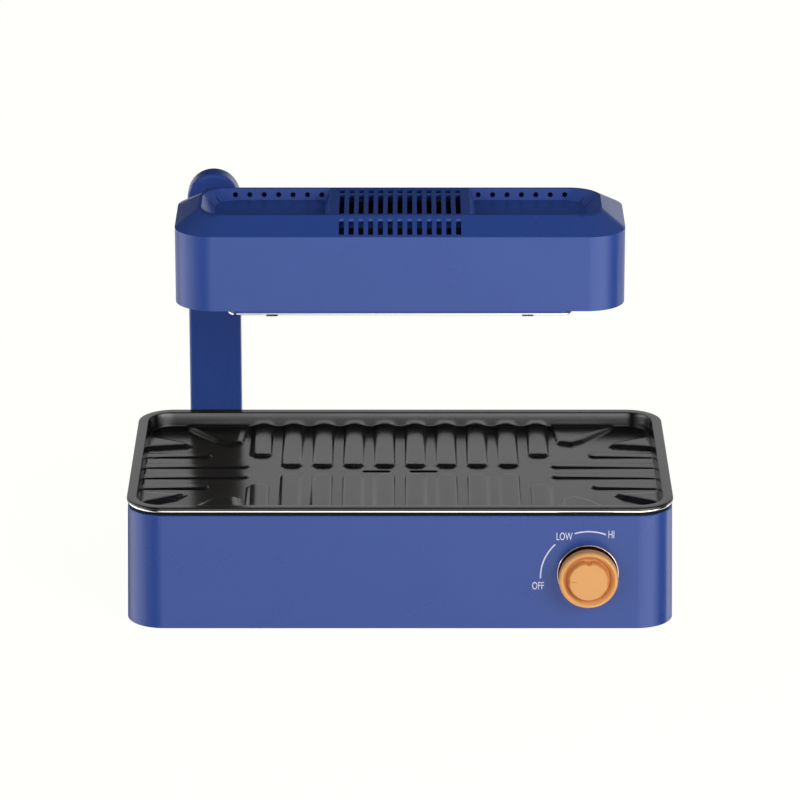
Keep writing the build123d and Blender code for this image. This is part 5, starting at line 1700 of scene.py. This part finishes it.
@dataclass
class Studio:
    """The camera, the white ground, the lamps and the graded surroundings, in metres.

    Attributes:
        lens: The lens's length, in millimetres.
        sensor: The sensor's width, in millimetres.
        ground_glow: How brightly the camera sees the ground, before the light that falls on it.
        shadow_share: The share of that light that it sees.
        sky: Levels of the light on matt surfaces over the height of its way.
        ring: Levels of what reflections show round the object, over the bearing in degrees, 0 in front and
            90 on the right.
        ring_fall: Shares of these levels over the height of their way.
        ring_peak: The highest level of the ring.
        seen_fall: The share of the fall at level ways, for which the ring's levels are given.
    """

    camera_place: tuple[float, float, float] = (0.0, -3.6687, 1.3927)
    camera_aim: tuple[float, float, float] = (0.0, 0.0, 0.15094)
    lens: float = 217.5
    sensor: float = 36.0
    clip_end: float = 60.0
    ground_half: float = 10.0
    ground_white: str = "#FFFFFB"
    ground_glow: float = 0.955
    shadow_share: float = 0.12
    lamps: tuple = (
        Lamp("key_front_right", (1.2, -1.7, 1.0), (1.2, 0.9), 15.0),
        Lamp("fill_front_left", (-1.6, -2.6, 1.1), (1.2, 1.2), 9.0),
    )
    flags: tuple = (
        Flag("card_behind", (0.15, 0.3, 0.15), (1.7, 0.3), "#DADADA", (0.15, -1.0, 0.15)),
        Flag("card_behind_top", (0.15, 0.31, 0.275), (1.7, 0.05), "#FFFFFF", (0.15, -1.0, 0.2), 2.2),
        Flag("arm_flag", (-0.1524, 0.1205, 0.2), (0.042, 0.2), "#403F3C", (-0.1524, -1.0, 0.2)),
    )
    sky: tuple = ((0.0, 1.0), (0.32, 0.66), (0.62, 0.3), (0.8, 0.16), (1.0, 0.06))
    sky_level: float = 1.1
    ring: tuple = (
        (-180.0, 0.02), (-155.0, 0.02), (-138.0, 0.6), (-125.0, 1.2), (-104.0, 2.2), (-70.0, 1.5),
        (-50.0, 0.5), (-34.0, 0.0), (-20.0, 0.0), (-10.0, 0.95), (0.0, 1.3), (16.0, 2.1), (52.0, 2.4),
        (68.0, 1.1), (82.0, 0.0), (104.0, 0.0), (118.0, 2.0), (140.0, 0.9), (163.0, 0.3), (180.0, 0.02),
    )
    ring_fall: tuple = (
        (-1.0, 0.7), (-0.8, 0.6), (-0.5, 0.36), (0.0, 0.36), (0.04, 1.0), (0.14, 0.95), (0.21, 0.25),
        (0.27, 0.06), (0.45, 0.04), (1.0, 0.02),
    )
    ring_peak: float = 2.4
    seen_fall: float = 0.36

    def build(self) -> None:
        """Set everything up."""
        self.aim_camera()
        self.lay_ground()
        self.grade_surroundings()
        for item in (*self.lamps, *self.flags):
            item.build()
        bpy.context.scene.view_settings.view_transform = "Standard"

    def aim_camera(self) -> None:
        """Place the long-lens camera."""
        lens = bpy.data.cameras.new("camera")
        lens.lens, lens.sensor_width, lens.clip_end = self.lens, self.sensor, self.clip_end
        camera = new_object("camera", lens)
        camera.location = self.camera_place
        camera.rotation_euler = facing(self.camera_place, self.camera_aim).to_euler()
        bpy.context.scene.camera = camera

    def lay_ground(self) -> None:
        """Lay the white ground, which keeps the object's soft shadow."""
        ground = flat_board("ground", self.ground_half, self.ground_half)
        paper = bpy.data.materials.new("white_paper")
        tree = fresh_tree(paper)
        white = linear(self.ground_white)
        matt = add_node(tree, "ShaderNodeBsdfDiffuse", {"Color": white})
        faint = add_node(
            tree, "ShaderNodeBsdfDiffuse", {"Color": tuple(c * self.shadow_share for c in white[:3]) + (1.0,)}
        )
        glow = add_node(tree, "ShaderNodeEmission", {"Color": white, "Strength": self.ground_glow})
        seen = add_node(tree, "ShaderNodeLightPath")
        both = add_node(tree, "ShaderNodeAddShader", {0: faint.outputs[0], 1: glow.outputs[0]})
        mixed = add_node(
            tree,
            "ShaderNodeMixShader",
            {0: seen.outputs["Is Camera Ray"], 1: matt.outputs[0], 2: both.outputs[0]},
        )
        add_node(tree, "ShaderNodeOutputMaterial", {"Surface": mixed.outputs[0]})
        ground.data.materials.append(paper)
        ground.visible_glossy = False

    def grade_surroundings(self) -> None:
        """Grade the surroundings: soft white for light, and a ring of bright and dark for reflections."""
        world = bpy.data.worlds.new("surroundings")
        bpy.context.scene.world = world
        world.cycles.sampling_method = "NONE"
        tree = fresh_tree(world)
        way = add_node(tree, "ShaderNodeTexCoord")
        parts = add_node(tree, "ShaderNodeSeparateXYZ", {0: way.outputs["Generated"]})
        forward = add_node(tree, "ShaderNodeMath", {0: parts.outputs["Y"], 1: -1.0}, operation="MULTIPLY")
        bearing = add_node(
            tree, "ShaderNodeMath", {0: parts.outputs["X"], 1: forward.outputs[0]}, operation="ARCTAN2"
        )
        # A bearing from minus pi to pi and a height from -1 to 1 become places from 0 to 1 on a ramp
        share, height = (
            add_node(tree, "ShaderNodeMath", {0: source, 1: scale, 2: 0.5}, operation="MULTIPLY_ADD")
            for source, scale in ((bearing.outputs[0], 0.5 / math.pi), (parts.outputs["Z"], 0.5))
        )
        stops = [(0.5 + at / 360, level / self.ring_peak) for at, level in self.ring]
        ring = self.ramp(tree, share.outputs[0], stops)
        fall = self.ramp(tree, height.outputs[0], [(0.5 + at / 2, level) for at, level in self.ring_fall])
        glint = add_node(tree, "ShaderNodeMath", {0: ring, 1: fall}, operation="MULTIPLY")
        sky = self.ramp(tree, parts.outputs["Z"], self.sky)
        seen = add_node(tree, "ShaderNodeLightPath")
        around = add_node(tree, "ShaderNodeBackground", {"Color": sky, "Strength": self.sky_level})
        strength = self.ring_peak / self.seen_fall
        mirrored = add_node(tree, "ShaderNodeBackground", {"Color": glint.outputs[0], "Strength": strength})
        behind = add_node(tree, "ShaderNodeBackground", {"Color": linear(self.ground_white)})
        lit = add_node(
            tree,
            "ShaderNodeMixShader",
            {0: seen.outputs["Is Glossy Ray"], 1: around.outputs[0], 2: mirrored.outputs[0]},
        )
        mixed = add_node(
            tree,
            "ShaderNodeMixShader",
            {0: seen.outputs["Is Camera Ray"], 1: lit.outputs[0], 2: behind.outputs[0]},
        )
        add_node(tree, "ShaderNodeOutputWorld", {"Surface": mixed.outputs[0]})

    def ramp(
        self, tree: bpy.types.NodeTree, source: bpy.types.NodeSocket, stops: Sequence[tuple[float, float]]
    ) -> bpy.types.NodeSocket:
        """Turn a value into a grey through a ramp.

        Args:
            tree: The tree that the ramp goes into.
            source: The value.
            stops: Places and levels along the ramp.

        Returns:
            The socket with the grey.
        """
        grade = add_node(tree, "ShaderNodeValToRGB", {0: source})
        elements = grade.color_ramp.elements
        while len(elements) < len(stops):
            elements.new(1.0)
        for element, (at, level) in zip(elements, stops):
            element.position = at
            element.color = (level, level, level, 1.0)
        return grade.outputs[0]


def main() -> None:
    """Build the grill piece by piece, then the studio round it."""
    logging.basicConfig(level=logging.INFO, format="%(name)s: %(message)s")
    for part in (GrillPan(), DripTray(), Base(), Arm(), Knob(), Head(), Guard(), Dial()):
        part.dress()
        log.info("%s is dressed", type(part).__name__)
    Studio().build()


if __name__ == "__main__":
    main()
